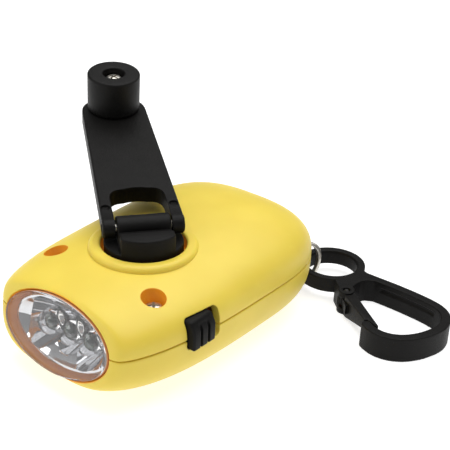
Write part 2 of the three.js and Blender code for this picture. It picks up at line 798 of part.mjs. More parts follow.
// A spur gear's outline with involute flanks, a tooth centred on the turn given
function gearShape(teethCount, module, turn) {
  const pitchRadius = (teethCount * module) / 2;
  const pressure = THREE.MathUtils.degToRad(pressureDegrees);
  const baseRadius = pitchRadius * Math.cos(pressure);
  const tipRadius = pitchRadius + gearAddendumShare * module;
  const rootRadius = pitchRadius - gearDedendumShare * module;
  const involute = (radius) => {
    const angle = Math.acos(Math.min(1, baseRadius / radius));
    return Math.tan(angle) - angle;
  };
  const halfAtPitch = (Math.PI * (1 - gearBacklashShare)) / (2 * teethCount);
  const halfAt = (radius) => halfAtPitch + involute(pitchRadius) - involute(Math.max(radius, baseRadius));
  const flankStart = Math.max(baseRadius, rootRadius);
  const points = [];
  const add = (radius, angle) => points.push([radius * Math.cos(angle), radius * Math.sin(angle)]);
  for (let tooth = 0; tooth < teethCount; tooth += 1) {
    const centre = turn + (tooth * 2 * Math.PI) / teethCount;
    if (flankStart > rootRadius) add(rootRadius, centre - rootNarrowingShare * halfAt(flankStart));
    for (let step = 0; step <= flankSteps; step += 1) {
      const radius = flankStart + ((tipRadius - flankStart) * step) / flankSteps;
      add(radius, centre - halfAt(radius));
    }
    for (let step = flankSteps; step >= 0; step -= 1) {
      const radius = flankStart + ((tipRadius - flankStart) * step) / flankSteps;
      add(radius, centre + halfAt(radius));
    }
    if (flankStart > rootRadius) add(rootRadius, centre + rootNarrowingShare * halfAt(flankStart));
  }
  return polygon(points);
}

// Gear train in plan: each axle stands one centre distance from the last
const firstDistance = ((driveTeethCount + firstPinionTeethCount) * driveModule) / 2;
const secondDistance = ((firstWheelTeethCount + secondPinionTeethCount) * firstWheelModule) / 2;
const thirdDistance = ((secondWheelTeethCount + rotorPinionTeethCount) * secondWheelModule) / 2;
const trainTurns = [firstAxleDegrees, secondAxleDegrees, generatorDegrees].map(THREE.MathUtils.degToRad);
const trainDistances = [firstDistance, secondDistance, thirdDistance];
const trainPlaces = trainDistances.reduce(
  (places, distance, index) => {
    const [x, y] = places[index];
    const turn = trainTurns[index];
    return [...places, [x + distance * Math.cos(turn), y + distance * Math.sin(turn)]];
  },
  [[0, 0]],
);

function axlePlaces() {
  return trainPlaces.slice(1, -1);
}

const axlePostTops = [firstWheelBottom - gap, secondWheelBottom - gap];

// The turn that puts a gap of the second gear where a tooth of the first points at it
function meshTurn(firstTurn, firstTeethCount, secondTeethCount, direction) {
  const toothPhase = ((direction - firstTurn) * firstTeethCount) / (2 * Math.PI);
  const ahead = toothPhase - Math.round(toothPhase);
  return direction + Math.PI + ((ahead + 0.5) * 2 * Math.PI) / secondTeethCount;
}

const driveTurn = THREE.MathUtils.degToRad(crankRestDegrees);
const firstPinionTurn = meshTurn(driveTurn, driveTeethCount, firstPinionTeethCount, trainTurns[0]);
const secondPinionTurn = meshTurn(firstPinionTurn, firstWheelTeethCount, secondPinionTeethCount, trainTurns[1]);
const rotorPinionTurn = meshTurn(secondPinionTurn, secondWheelTeethCount, rotorPinionTeethCount, trainTurns[2]);

function driveGear() {
  const top = driveGearBottom + driveGearThickness;
  const half = squareHalf + gap;
  return cut(
    prism(gearShape(driveTeethCount, driveModule, 0), driveGearBottom, top),
    block(-half, half, -half, half, driveGearBottom - overrun, top + overrun),
  );
}

// A pinion and the wheel under it, moulded as one on an axle
function compoundGear(place, pinion, wheel, wheelBottom, turn) {
  const [x, y] = place;
  const wheelTop = wheelBottom + wheelThickness;
  const pinionTop = pinion.top;
  const wheelSolid = prism(gearShape(wheel.teethCount, wheel.module, turn), wheelBottom, wheelTop);
  const pinionSolid = prism(gearShape(pinion.teethCount, pinion.module, turn), wheelTop - gap, pinionTop);
  const gear = cut(
    join(wheelSolid, pinionSolid),
    rod(axleRadius + gap, wheelBottom - overrun, pinionTop + overrun, 0, 0, pinSides),
  );
  return placed(gear, new THREE.Matrix4().makeTranslation(x, y, 0));
}

function axle(place) {
  const [x, y] = place;
  return rod(axleRadius, wall + gap, axleTop, x, y, pinSides);
}

// Generator parts on the last place of the train
const generatorPlace = trainPlaces[3];
const generatorShaftTop = firstWheelBottom - gap;

function generatorShaft() {
  const [x, y] = generatorPlace;
  const pinionBottom = secondWheelBottom - pinionExtra;
  const pinionTop = secondWheelBottom + wheelThickness + pinionExtra;
  const pinion = prism(gearShape(rotorPinionTeethCount, secondWheelModule, rotorPinionTurn), pinionBottom, pinionTop);
  const shaft = rod(axleRadius, wall + gap, generatorShaftTop, 0, 0, pinSides);
  return placed(join(shaft, pinion), new THREE.Matrix4().makeTranslation(x, y, 0));
}

function magnetRotor() {
  const [x, y] = generatorPlace;
  return cut(
    rod(magnetRadius, magnetBottom, magnetTop, x, y),
    rod(axleRadius + gap, magnetBottom - overrun, magnetTop + overrun, x, y, pinSides),
  );
}

function coil() {
  const [x, y] = generatorPlace;
  return turned([
    [coilInnerRadius, magnetBottom],
    [coilOuterRadius, magnetBottom],
    [coilOuterRadius, magnetTop],
    [coilInnerRadius, magnetTop],
    [coilInnerRadius, magnetBottom],
  ], x, y);
}

function statorCup() {
  const [x, y] = generatorPlace;
  const outer = coilOuterRadius + gap + cupWall;
  return cut(
    rod(outer, cupBottom, cupTop, x, y),
    rod(outer - cupWall, cupBottom + cupFloor, cupTop + overrun, x, y),
    rod(axlePostRadius + gap, cupBottom - overrun, cupBottom + overrun, x, y, pinSides),
  );
}

// Main board with the slide switch on it, and the stack of cells on the floor
function mainBoard() {
  return block(
    mainBoardBackX,
    mainBoardFrontX,
    mainBoardFarY,
    buttonFlangeY - gap,
    mainBoardBottom,
    mainBoardBottom + boardThickness,
  );
}

function switchBody() {
  const bottom = mainBoardBottom + boardThickness + gap;
  const tabZ = bottom + switchBodyHeight / 2;
  const half = switchTabHeight / 2 + gap;
  const buttonMiddle = (switchSlotFrontX - gap + buttonBackX()) / 2;
  const body = block(
    switchBodyBackX,
    mainBoardFrontX,
    switchBodyFarY,
    buttonFlangeY - gap,
    bottom,
    bottom + switchBodyHeight,
  );
  const slot = block(
    buttonMiddle - switchTabHalfLength - gap - switchTravel,
    buttonMiddle + switchTabHalfLength + gap,
    buttonFlangeY - switchTabDepth - gap,
    buttonFlangeY + overrun,
    tabZ - half,
    tabZ + half,
  );
  return cut(body, slot);
}

function buttonBackX() {
  return switchSlotBackX + gap + switchTravel;
}

function switchButton() {
  const [back, front] = [buttonBackX(), switchSlotFrontX - gap];
  const [bottom, top] = [switchSlotBottom + gap, switchSlotTop - gap];
  const cap = sidePlate(back, front, bottom, top, switchSlotCorner - gap, buttonRootY - gap, buttonProudY);
  const slope = placed(
    block(back - overrun, front + overrun, 0, buttonChamfer, -buttonChamfer, buttonChamfer),
    new THREE.Matrix4()
      .makeTranslation(0, buttonProudY - buttonChamfer, top)
      .multiply(new THREE.Matrix4().makeRotationX(-Math.PI / 4)),
  );
  const flange = block(
    back - buttonFlangeOverlap,
    front,
    buttonFlangeY,
    buttonRootY,
    bottom - gap,
    top - gap,
  );
  const tabZ = mainBoardBottom + boardThickness + gap + switchBodyHeight / 2;
  const middle = (back + front) / 2;
  const tab = block(
    middle - switchTabHalfLength,
    middle + switchTabHalfLength,
    buttonFlangeY - switchTabDepth,
    buttonRootY,
    tabZ - switchTabHeight / 2,
    tabZ + switchTabHeight / 2,
  );
  const pitch = (front - back) / (buttonGrooveCount + 1);
  const grooves = Array.from({ length: buttonGrooveCount }, (unused, index) => {
    const x = back + pitch * (index + 1);
    return block(
      x - buttonGrooveWidth / 2,
      x + buttonGrooveWidth / 2,
      buttonProudY - buttonGrooveDepth,
      buttonProudY + overrun,
      bottom - overrun,
      top + overrun,
    );
  });
  return cut(join(cut(cap, slope), flange, tab), ...grooves);
}

function cell(index) {
  const bottom = wall + gap + index * (cellHeight + gap);
  return rod(cellRadius, bottom, bottom + cellHeight, cellX, cellY);
}

function lanyardBar() {
  return rodAlongY(barRadius, slotFarY - slotWall, slotNearY + slotWall - gap, barX, barZ);
}

// Split ring standing on edge, in the frame of its own plane: X and Z in the plane, Y across it
function splitRing() {
  const half = splitRingWidth / 2;
  const profile = [
    [splitRingInnerRadius, -half],
    [splitRingRadius, -half],
    [splitRingRadius, -splitRingGroove],
    [splitRingRadius - splitRingGroove, 0],
    [splitRingRadius, splitRingGroove],
    [splitRingRadius, half],
    [splitRingInnerRadius, half],
    [splitRingInnerRadius, -half],
  ];
  const geometry = geometryOf(turned(profile, 0, 0, knobSides));
  geometry.rotateX(Math.PI / 2);
  return solidOf(geometry);
}

// Carabiner in the frame of its eye: X along it, Y across it
function framePathPoints(side) {
  const curve = new THREE.CatmullRomCurve3(framePath.map(([x, y]) => new THREE.Vector3(x, y, 0)));
  return Array.from({ length: framePathSteps + 1 }, (unused, step) => {
    const at = curve.getPoint(step / framePathSteps);
    const along = curve.getTangent(step / framePathSteps);
    return [at.x - side * along.y, at.y + side * along.x];
  });
}

function bandShape(left, right) {
  return polygon([...framePathPoints(right), ...framePathPoints(left).reverse()]);
}

function carabinerFrame() {
  const band = prism(bandShape(frameHalfBand, -frameHalfBand), 0, carabinerTop);
  const ledge = prism(
    bandShape(-frameHalfBand + frameLedgeWidth, -frameHalfBand - overrun),
    carabinerTop - frameLedgeDepth,
    carabinerTop + overrun,
  );
  const ledgeZone = block(framePath[1][0], framePath[3][0], 0, eyeRadius, 0, carabinerTop + overrun);
  const neck = prism(polygon(neckPath), 0, carabinerTop);
  const eye = rod(eyeRadius, carabinerTop - eyeHeight, carabinerTop, 0, 0, knobSides);
  const fork = rod(forkRadius, 0, carabinerTop, pivotAlong, pivotAcross);
  const knuckleRoom = rod(knuckleRadius + gap + gap, forkPlate, carabinerTop - forkPlate, pivotAlong, pivotAcross);
  const gateRoom = prism(polygon(gateClearance()), forkPlate, carabinerTop - forkPlate);
  return cut(
    join(band, neck, eye, fork),
    ledge.intersect(ledgeZone),
    rod(eyeHoleRadius, -overrun, carabinerTop + overrun, 0, 0, knobSides),
    rod(eyeRadius + gap, -overrun, carabinerTop - eyeHeight, 0, 0, knobSides),
    knuckleRoom,
    gateRoom,
    rod(gatePinRadius + gap, -overrun, carabinerTop + overrun, pivotAlong, pivotAcross, pinSides),
  );
}

// Room in the fork for the gate's neck as it swings in
function gateClearance() {
  const reach = forkRadius + knuckleRadius;
  return [
    [pivotAlong, pivotAcross - knuckleRadius - gap - gap],
    [pivotAlong + reach, pivotAcross - reach],
    [pivotAlong + reach, pivotAcross + reach],
    [pivotAlong, pivotAcross + knuckleRadius + gap + gap],
  ];
}

function carabinerGate() {
  const leafZone = rod(forkRadius + gap, 0, carabinerTop, pivotAlong, pivotAcross);
  const leaf = cut(prism(polygon(gateOutline), gap, carabinerTop - gap), leafZone);
  const knuckleBottom = forkPlate + gap;
  const knuckleTop = carabinerTop - forkPlate - gap;
  const knuckle = rod(knuckleRadius, knuckleBottom, knuckleTop, pivotAlong, pivotAcross);
  const neck = prism(
    polygon([
      [pivotAlong, pivotAcross - knuckleRadius + gap],
      [pivotAlong + forkRadius + overrun, pivotAcross - knuckleRadius - overrun],
      [pivotAlong + forkRadius + overrun, pivotAcross],
      [pivotAlong, pivotAcross + knuckleRadius - gap],
    ]),
    knuckleBottom,
    knuckleTop,
  );
  return cut(
    join(leaf, knuckle, neck),
    rod(gatePinRadius + gap, -overrun, carabinerTop + overrun, pivotAlong, pivotAcross, pinSides),
  );
}

function gatePin() {
  return rod(gatePinRadius, 0, carabinerTop, pivotAlong, pivotAcross, pinSides);
}

// Scene graph
const materials = Object.fromEntries(
  Object.entries(finishes).map(([name, finish]) => [name, new THREE.MeshStandardMaterial(finish)]),
);

// Facets that bend less than the tolerance are merged, which leaves out slivers from the cuts
function piece(name, solid, material) {
  const mesh = new THREE.Mesh(geometryOf(solid.asOriginal().simplify(facetTolerance)), materials[material]);
  mesh.name = name;
  return mesh;
}

const housing = new THREE.Group();
housing.add(
  piece("upper_shell", upperShell(), "yellowPlastic"),
  piece("lower_shell", lowerShell(), "yellowPlastic"),
  piece("main_board", mainBoard(), "greenBoard"),
  piece("switch_body", switchBody(), "whitePlastic"),
  piece("switch_button", switchButton(), "blackPlastic"),
  piece("lanyard_bar", lanyardBar(), "steel"),
);
signs.forEach((side) => {
  const name = side > 0 ? "housing_screw_near" : "housing_screw_far";
  const screw = crossHeadScrew(wellFloor + gap, housingScrewBottom, wellX, side * wellY);
  housing.add(piece(name, screw, "steel"));
});
for (let index = 0; index < cellCount; index += 1) {
  housing.add(piece(`button_cell_${index + 1}`, cell(index), "steel"));
}

const optics = new THREE.Group();
optics.applyMatrix4(faceMatrix);
optics.add(
  piece("front_lens", frontLens(), "clearPlastic"),
  piece("reflector", reflector(), "chromedPlastic"),
  piece("led_board", ledBoard(), "greenBoard"),
);
ledPlaces().forEach((y, index) => optics.add(piece(`led_${index + 1}`, led(y), "ledResin")));

const crank = new THREE.Group();
crank.rotation.z = THREE.MathUtils.degToRad(crankRestDegrees);
crank.add(
  piece("crank_rotor", crankRotor(), "blackPlastic"),
  piece("drive_gear", driveGear(), "whitePlastic"),
  piece("rotor_screw", rotorScrew(), "steel"),
);

const arm = new THREE.Group();
arm.position.set(-hingeSetback, 0, hingeHeight);
arm.rotation.set(0, THREE.MathUtils.degToRad(armRestDegrees), Math.PI, "YZX");
arm.add(
  piece("hinge_pin", hingePin(), "steel"),
  piece("crank_arm", crankArm(), "blackPlastic"),
  piece("knob", knob(), "blackPlastic"),
);
const knobScrewHead = armHalfThickness + knobShoulderTop + gap;
const knobScrewBottom = armHalfThickness + knobShoulderBottom - screwBite;
arm.add(piece("knob_screw", crossHeadScrew(knobScrewHead, knobScrewBottom, armReach, 0), "steel"));
crank.add(arm);

const train = new THREE.Group();
const firstPinion = {
  teethCount: firstPinionTeethCount,
  module: driveModule,
  top: driveGearBottom + driveGearThickness + pinionExtra,
};
const secondPinion = {
  teethCount: secondPinionTeethCount,
  module: firstWheelModule,
  top: firstWheelBottom + wheelThickness + pinionExtra,
};
const firstWheel = { teethCount: firstWheelTeethCount, module: firstWheelModule };
const secondWheel = { teethCount: secondWheelTeethCount, module: secondWheelModule };
train.add(
  piece(
    "first_compound_gear",
    compoundGear(trainPlaces[1], firstPinion, firstWheel, firstWheelBottom, firstPinionTurn),
    "whitePlastic",
  ),
  piece(
    "second_compound_gear",
    compoundGear(trainPlaces[2], secondPinion, secondWheel, secondWheelBottom, secondPinionTurn),
    "whitePlastic",
  ),
  piece("first_axle", axle(trainPlaces[1]), "steel"),
  piece("second_axle", axle(trainPlaces[2]), "steel"),
  piece("generator_shaft", generatorShaft(), "steel"),
  piece("magnet_rotor", magnetRotor(), "magnetBlack"),
  piece("coil", coil(), "copper"),
  piece("stator_cup", statorCup(), "steel"),
);

const ringGroup = new THREE.Group();
ringGroup.position.set(splitRingX, splitRingY, splitRingZ);
ringGroup.rotation.z = -splitRingTurn;
ringGroup.add(piece("split_ring", splitRing(), "steel"));

const carabiner = new THREE.Group();
carabiner.position.set(eyeX, eyeY, 0);
carabiner.rotation.z = THREE.MathUtils.degToRad(carabinerDegrees);
carabiner.add(
  piece("carabiner_frame", carabinerFrame(), "blackPlastic"),
  piece("carabiner_gate", carabinerGate(), "blackPlastic"),
  piece("gate_pin", gatePin(), "steel"),
);

const flashlight = new THREE.Group();
flashlight.add(housing, optics, crank, train, ringGroup, carabiner);

export default flashlight;
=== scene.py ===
import math

import bmesh
import bpy
from mathutils import Matrix, Vector


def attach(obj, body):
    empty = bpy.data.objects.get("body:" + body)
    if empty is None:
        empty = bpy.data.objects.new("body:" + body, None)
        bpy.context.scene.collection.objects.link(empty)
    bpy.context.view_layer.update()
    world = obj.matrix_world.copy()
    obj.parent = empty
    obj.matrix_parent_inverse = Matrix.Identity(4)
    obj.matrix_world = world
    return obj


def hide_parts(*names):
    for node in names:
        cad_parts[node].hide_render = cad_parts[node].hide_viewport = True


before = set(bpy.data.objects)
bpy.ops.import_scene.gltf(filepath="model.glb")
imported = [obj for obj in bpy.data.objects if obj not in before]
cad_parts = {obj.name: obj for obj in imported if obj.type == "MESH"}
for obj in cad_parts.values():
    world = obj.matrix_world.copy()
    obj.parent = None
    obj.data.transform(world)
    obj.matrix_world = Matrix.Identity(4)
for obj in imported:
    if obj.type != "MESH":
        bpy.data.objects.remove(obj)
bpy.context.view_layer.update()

# Housing: two moulded halves of bright yellow plastic, a crown with the crank ring and a belly with a
# flat foot, held together by two screws in deep wells at the front. The plastic is a little
# translucent; the orange glow in its crank recess, knob notch, screw wells and lens seat is painted
# into its colour and a faint emission.
MM = 0.001
FAR = 100.0
PARTING, SEAM, EDGE, WALL = 15.8, 0.15, 0.35, 2.0
WIDEST_X, HALF_WIDTH, NOSE, TAIL = -19.4, 27.0, 57.6, 30.6
CROWN, CROWN_TO_NOSE, BELLY = 11.9, 1.4, 16.3
SPINE_RISE, SPINE_START, SPINE_RUN = 1.1, 5.0, 35.0
NOSE_FULLNESS, TAIL_FULLNESS, BELLY_FULLNESS, BELLY_FULLNESS_AT_TAIL = 3.2, 3.0, 3.0, 3.3
CROWN_FULLNESS, CROWN_FULLNESS_AT_SIDE, CROWN_FULLNESS_AT_TAIL = 3.4, 2.6, 2.8
FACE_X, FACE_Z, FACE_LEAN, FACE_BLEND = 30.5, 14.9, math.radians(15), 2.4


def piece_from(name, points, faces, smooth_degrees=30):
    """A closed mesh object from points in millimetres, smooth except at its real edges."""
    mesh = bpy.data.meshes.new(name)
    mesh.from_pydata([Vector(point) * MM for point in points], [], faces)
    shape = bpy.data.objects.new(name, mesh)
    bpy.context.scene.collection.objects.link(shape)
    return settle(shape, smooth_degrees)


def settle(shape, smooth_degrees=30):
    """Merges doubles, turns the faces outward and keeps only the real edges sharp."""
    work = bmesh.new()
    work.from_mesh(shape.data)
    bmesh.ops.remove_doubles(work, verts=work.verts, dist=0.002 * MM)
    bmesh.ops.recalc_face_normals(work, faces=work.faces)
    work.to_mesh(shape.data)
    work.free()
    shape.data.shade_smooth()
    shape.data.set_sharp_from_angle(angle=math.radians(smooth_degrees))
    return shape


def worked(shape, smooth_degrees=30):
    """Turns the modifiers of a piece into plain mesh."""
    made = bpy.data.meshes.new_from_object(shape.evaluated_get(bpy.context.evaluated_depsgraph_get()))
    shape.modifiers.clear()
    made.name = shape.name
    shape.data = made
    return settle(shape, smooth_degrees)


def joined(shape, *others, operation="UNION", smooth_degrees=30):
    """The piece with the others welded on, or worked on by another Boolean operation."""
    for other in others:
        step = shape.modifiers.new(operation.lower(), "BOOLEAN")
        step.operation = operation
        step.solver = "MANIFOLD"
        step.object = other
    shape = worked(shape, smooth_degrees)
    for other in others:
        bpy.data.objects.remove(other)
    return shape


def cut(shape, *tools, smooth_degrees=30):
    """The piece with the tools cut out of it."""
    return joined(shape, *tools, operation="DIFFERENCE", smooth_degrees=smooth_degrees)


def rounded(shape, radius, steps=3, over_degrees=35):
    """Rounds every edge sharper than the angle."""
    edge = shape.modifiers.new("edge", "BEVEL")
    edge.width = radius * MM
    edge.segments = steps
    edge.limit_method = "ANGLE"
    edge.angle_limit = math.radians(over_degrees)
    return worked(shape)


def moved(shape, matrix):
    """Puts a piece in place by its points, so that its object stays at the origin."""
    matrix = matrix.copy()
    matrix.translation *= MM
    shape.data.transform(matrix)
    return shape


def turned(name, profile, x=0.0, y=0.0, sides=96):
    """A piece turned about Z from (radius, height) pairs, the first and last on the axis."""
    points, faces = [], []
    inner = profile[1:-1]
    for radius, height in inner:
        for index in range(sides):
            angle = 2 * math.pi * index / sides
            points.append((x + radius * math.cos(angle), y + radius * math.sin(angle), height))
    for row in range(len(inner) - 1):
        for index in range(sides):
            here, beside = row * sides + index, row * sides + (index + 1) % sides
            faces.append((here, beside, beside + sides, here + sides))
    points += [(x, y, profile[0][1]), (x, y, profile[-1][1])]
    low, high, last = len(points) - 2, len(points) - 1, (len(inner) - 1) * sides
    for index in range(sides):
        beside = (index + 1) % sides
        faces.append((low, beside, index))
        faces.append((high, last + index, last + beside))
    return piece_from(name, points, faces)


def arc(radius, height, reach, start, end, steps=5):
    """Profile points on a quarter round, from one angle to another in degrees."""
    angles = [math.radians(start + (end - start) * step / steps) for step in range(steps + 1)]
    return [(radius + reach * math.cos(angle), height + reach * math.sin(angle)) for angle in angles]


def prism(name, outline, low, high):
    """An outline in X and Y, extruded along Z."""
    count = len(outline)
    points = [(x, y, low) for x, y in outline] + [(x, y, high) for x, y in outline]
    faces = [tuple(reversed(range(count))), tuple(range(count, 2 * count))]
    for index in range(count):
        beside = (index + 1) % count
        faces.append((index, beside, beside + count, index + count))
    return piece_from(name, points, faces)


def block(name, low, high):
    """A box between two corners."""
    (x0, y0, z0), (x1, y1, z1) = low, high
    return prism(name, [(x0, y0), (x1, y0), (x1, y1), (x0, y1)], z0, z1)


def rod(name, radius, low, high, x=0.0, y=0.0, sides=64):
    """A round bar along Z."""
    return turned(name, [(0, low), (radius, low), (radius, high), (0, high)], x, y, sides)


def rods(name, radius, low, high, places, sides=64):
    """The same round bar at each place."""
    return [rod(f"{name}_{index}", radius, low, high, *place, sides) for index, place in enumerate(places)]


def full_round(turn, fullness):
    """The point at this turn on a rounded square of half width 1."""
    across, along = math.cos(turn), math.sin(turn)
    scale = (abs(across) ** fullness + abs(along) ** fullness) ** (-1 / fullness)
    return scale * across, scale * along


def soft_step(share):
    """0 below 0 and 1 above 1, smooth between."""
    share = min(max(share, 0.0), 1.0)
    return share * share * (3 - 2 * share)


def behind_face(x, z):
    """X moved back so that the round of the body runs softly into the flat of the face."""
    ahead = (x - FACE_X) * math.cos(FACE_LEAN) + (z - FACE_Z) * math.sin(FACE_LEAN)
    return x - (ahead + math.hypot(ahead, FACE_BLEND)) / 2 / math.cos(FACE_LEAN)


def dome(name, side, inset, skirt, edge=0.0, sides=288, rings=44):
    """Half of the housing's form above or below the parting plane, closed by a skirt past it."""
    ahead, beside, behind = CROWN_FULLNESS, CROWN_FULLNESS_AT_SIDE, CROWN_FULLNESS_AT_TAIL
    if side < 0:
        ahead, beside, behind = BELLY_FULLNESS, BELLY_FULLNESS, BELLY_FULLNESS_AT_TAIL
    level = math.pi / 2
    rows = [(level * ring / rings, 0.0, None) for ring in range(rings + 1)]
    for degrees in range(0, 120, 30) if edge else ():
        angle = math.radians(degrees)
        rows.append((level, edge * (1 - math.cos(angle)), SEAM + edge * (1 - math.sin(angle))))
    rows.append((level, edge, -skirt))
    points, faces = [], []
    for climb, less, lift in rows:
        for index in range(sides):
            turn = 2 * math.pi * index / sides
            forward = math.cos(turn) > 0
            fullness = beside + ((ahead if forward else behind) - beside) * math.cos(turn) ** 4
            rise, reach = full_round(climb, fullness)
            rise = rise if climb < level else 0.0
            along, across = full_round(turn, NOSE_FULLNESS if forward else TAIL_FULLNESS)
            x = WIDEST_X + reach * ((NOSE if forward else TAIL) - inset - less) * along
            y = reach * (HALF_WIDTH - inset - less) * across
            height = BELLY
            if side > 0:
                height = CROWN - CROWN_TO_NOSE * (x - WIDEST_X) / NOSE
                height += SPINE_RISE * soft_step((SPINE_START - x) / SPINE_RUN)
            z = max((height - inset) * rise, SEAM + edge if edge else 0.0) if lift is None else lift
            points.append((behind_face(x, PARTING + side * max(z, 0.0)), y, PARTING + side * z))
    for row in range(len(rows) - 1):
        for index in range(sides):
            here, beside = row * sides + index, row * sides + (index + 1) % sides
            faces.append((here, here + sides, beside + sides, beside))
    faces.append(tuple((len(rows) - 1) * sides + index for index in range(sides)))
    return piece_from(name, points, faces)


FACE = Matrix.Translation((FACE_X, 0, FACE_Z)) @ Matrix.Rotation(-FACE_LEAN, 4, "Y")
SIDEWAYS = Matrix.Rotation(math.radians(-90), 4, "X")


def oval(name, profile, sides=160):
    """An oval piece on the lens axis, from (half width, half height, depth) rows."""
    points = []
    for half_width, half_height, depth in profile:
        for index in range(sides):
            turn = 2 * math.pi * index / sides
            points.append((-depth, half_width * math.cos(turn), half_height * math.sin(turn)))
    faces = [tuple(range(sides)), tuple((len(profile) - 1) * sides + index for index in range(sides))]
    for row in range(len(profile) - 1):
        for index in range(sides):
            here, beside = row * sides + index, row * sides + (index + 1) % sides
            faces.append((here, beside, beside + sides, here + sides))
    return moved(piece_from(name, points, faces), FACE)


SEAT_HALF_WIDTH, SEAT_HALF_HEIGHT, SEAT_DEPTH = 17.5, 9.45, 9.5
WINDOW_HALF_WIDTH, WINDOW_HALF_HEIGHT, LED_ROOM = 15.8, 7.8, 22.0
MOUTH = [(17.5, 9.45, 0.9), (17.6, 9.55, 0.6), (17.9, 9.85, 0.25), (18.9, 10.9, -0.8)]
SWITCH_LOW, SWITCH_HIGH, SWITCH_CORNER = (2.0, 13.1), (12.6, 21.1), 1.2
SWITCH_OUTER_Y, SWITCH_DEPTH = 32.0, 12.0


def face_cuts():
    """The flat of the face, the lens seat with its rounded mouth, and the window behind it."""
    front = moved(block("face", (0, -FAR, -FAR), (FAR, FAR, FAR)), FACE)
    seat = oval("seat", [(SEAT_HALF_WIDTH, SEAT_HALF_HEIGHT, SEAT_DEPTH)] + MOUTH)
    window_rows = [(WINDOW_HALF_WIDTH, WINDOW_HALF_HEIGHT, depth) for depth in (LED_ROOM, SEAT_DEPTH - 0.3)]
    return [front, seat, oval("window", window_rows)]


def switch_cut():
    """The opening for the slide switch, half of it in each shell."""
    (left, bottom), (right, top) = SWITCH_LOW, SWITCH_HIGH
    x0, x1, z0, z1 = left + SWITCH_CORNER, right - SWITCH_CORNER, bottom + SWITCH_CORNER, top - SWITCH_CORNER
    opening = []
    for x, z, start in ((x1, z1, 0), (x0, z1, 90), (x0, z0, 180), (x1, z0, 270)):
        opening += arc(x, z, SWITCH_CORNER, start, start + 90)
    tool = prism("switch_opening", opening, 0, SWITCH_DEPTH)
    turn = Matrix.Rotation(math.radians(90), 4, "X")
    return moved(tool, Matrix.Translation((0, SWITCH_OUTER_Y, 0)) @ turn)


SKIRT, SKIN_GAP, SOLID_NOSE_X = 4.0, 0.02, 18.0


def hollowed(shell, side):
    """The shell with its inside taken out, but for the solid nose that carries the lens."""
    solid_nose = block("solid_nose", (SOLID_NOSE_X, -FAR, -FAR), (FAR, FAR, FAR))
    return cut(shell, cut(dome("hollow", side, WALL, SKIRT), solid_nose))


def trimmed(side, first, *others):
    """Inner walls and posts, kept within the skin of their half."""
    return joined(joined(first, *others), dome("limit", side, SKIN_GAP, -SEAM), operation="INTERSECT")


FIRST_AXLE, SECOND_AXLE, GENERATOR = (-19.4874, -4.499), (-24.6123, -16.0098), (-14.9094, -13.5906)
WELLS = [(14.3, 16.6), (14.3, -16.6)]
EYE = (-55.765, 21.409)
ABOVE, PARTING_OVERLAP = 30.0, 15.0
RING_TOP, RING_RADIUS, RING_ROUND = 27.9, 13.9, 1.3
RECESS_FLOOR, RECESS_RADIUS, LIP_ROUND = 24.6, 10.8, 0.7
BEARING_UNDERSIDE, BEARING_RADIUS, TOOL_LOW = 22.9, 3.6, 20.0
NOTCH_X, NOTCH_RADIUS, NOTCH_FLOOR, NOTCH_EDGE = -54.0, 9.6, 17.5, 0.4
WELL_RADIUS, WELL_FLOOR, WELL_WALL, WELL_BASE = 3.0, 20.8, 1.4, 1.5
LEG_RADIUS, LEG_TOP, PILOT_RADIUS, PILOT_TOP = 2.8, 21.0, 1.4, 24.0
BOSS_RADIUS, BOSS_LOW, AXLE_HOLE_RADIUS, AXLE_HOLE_TOP = 2.3, 23.0, 1.3, 24.3

crown = hollowed(dome("upper_housing", 1, 0, -SEAM, edge=EDGE), 1)
inner = trimmed(
    1,
    rod("notch_wall", NOTCH_RADIUS + WALL, PARTING_OVERLAP, ABOVE, NOTCH_X, 0, 96),
    *rods("well_wall", WELL_RADIUS + WELL_WALL, WELL_FLOOR - WELL_BASE, ABOVE, WELLS),
    *rods("well_leg", LEG_RADIUS, PARTING_OVERLAP, LEG_TOP, WELLS),
    *rods("boss", BOSS_RADIUS, BOSS_LOW, ABOVE, (FIRST_AXLE, SECOND_AXLE)),
)
ring_side = [(0, BEARING_UNDERSIDE), (RING_RADIUS, BEARING_UNDERSIDE)]
ring_side += arc(RING_RADIUS - RING_ROUND, RING_TOP - RING_ROUND, RING_ROUND, 0, 90, 8) + [(0, RING_TOP)]
crown = joined(crown, inner, turned("ring", ring_side, sides=192))
lip_radius = RECESS_RADIUS + LIP_ROUND
recess_side = [(0, RECESS_FLOOR), (RECESS_RADIUS, RECESS_FLOOR)]
recess_side += arc(lip_radius, RING_TOP - LIP_ROUND, LIP_ROUND, 180, 90, 6)
recess_side += [(lip_radius, ABOVE), (0, ABOVE)]
flat_radius = NOTCH_RADIUS - NOTCH_EDGE
notch_side = [(0, NOTCH_FLOOR), (flat_radius, NOTCH_FLOOR)]
notch_side += arc(flat_radius, NOTCH_FLOOR + NOTCH_EDGE, NOTCH_EDGE, -90, 0, 4)
notch_side += [(NOTCH_RADIUS, ABOVE), (0, ABOVE)]
crown = cut(
    crown,
    turned("recess", recess_side, sides=192),
    rod("bearing", BEARING_RADIUS, TOOL_LOW, RECESS_FLOOR + WALL),
    turned("notch", notch_side, NOTCH_X, 0, 128),
    *rods("well", WELL_RADIUS, WELL_FLOOR, ABOVE, WELLS),
    *rods("pilot", PILOT_RADIUS, PARTING_OVERLAP - 1, PILOT_TOP, WELLS, 32),
    *rods("axle_hole", AXLE_HOLE_RADIUS, TOOL_LOW, AXLE_HOLE_TOP, (FIRST_AXLE, SECOND_AXLE), 32),
    switch_cut(),
    *face_cuts(),
)

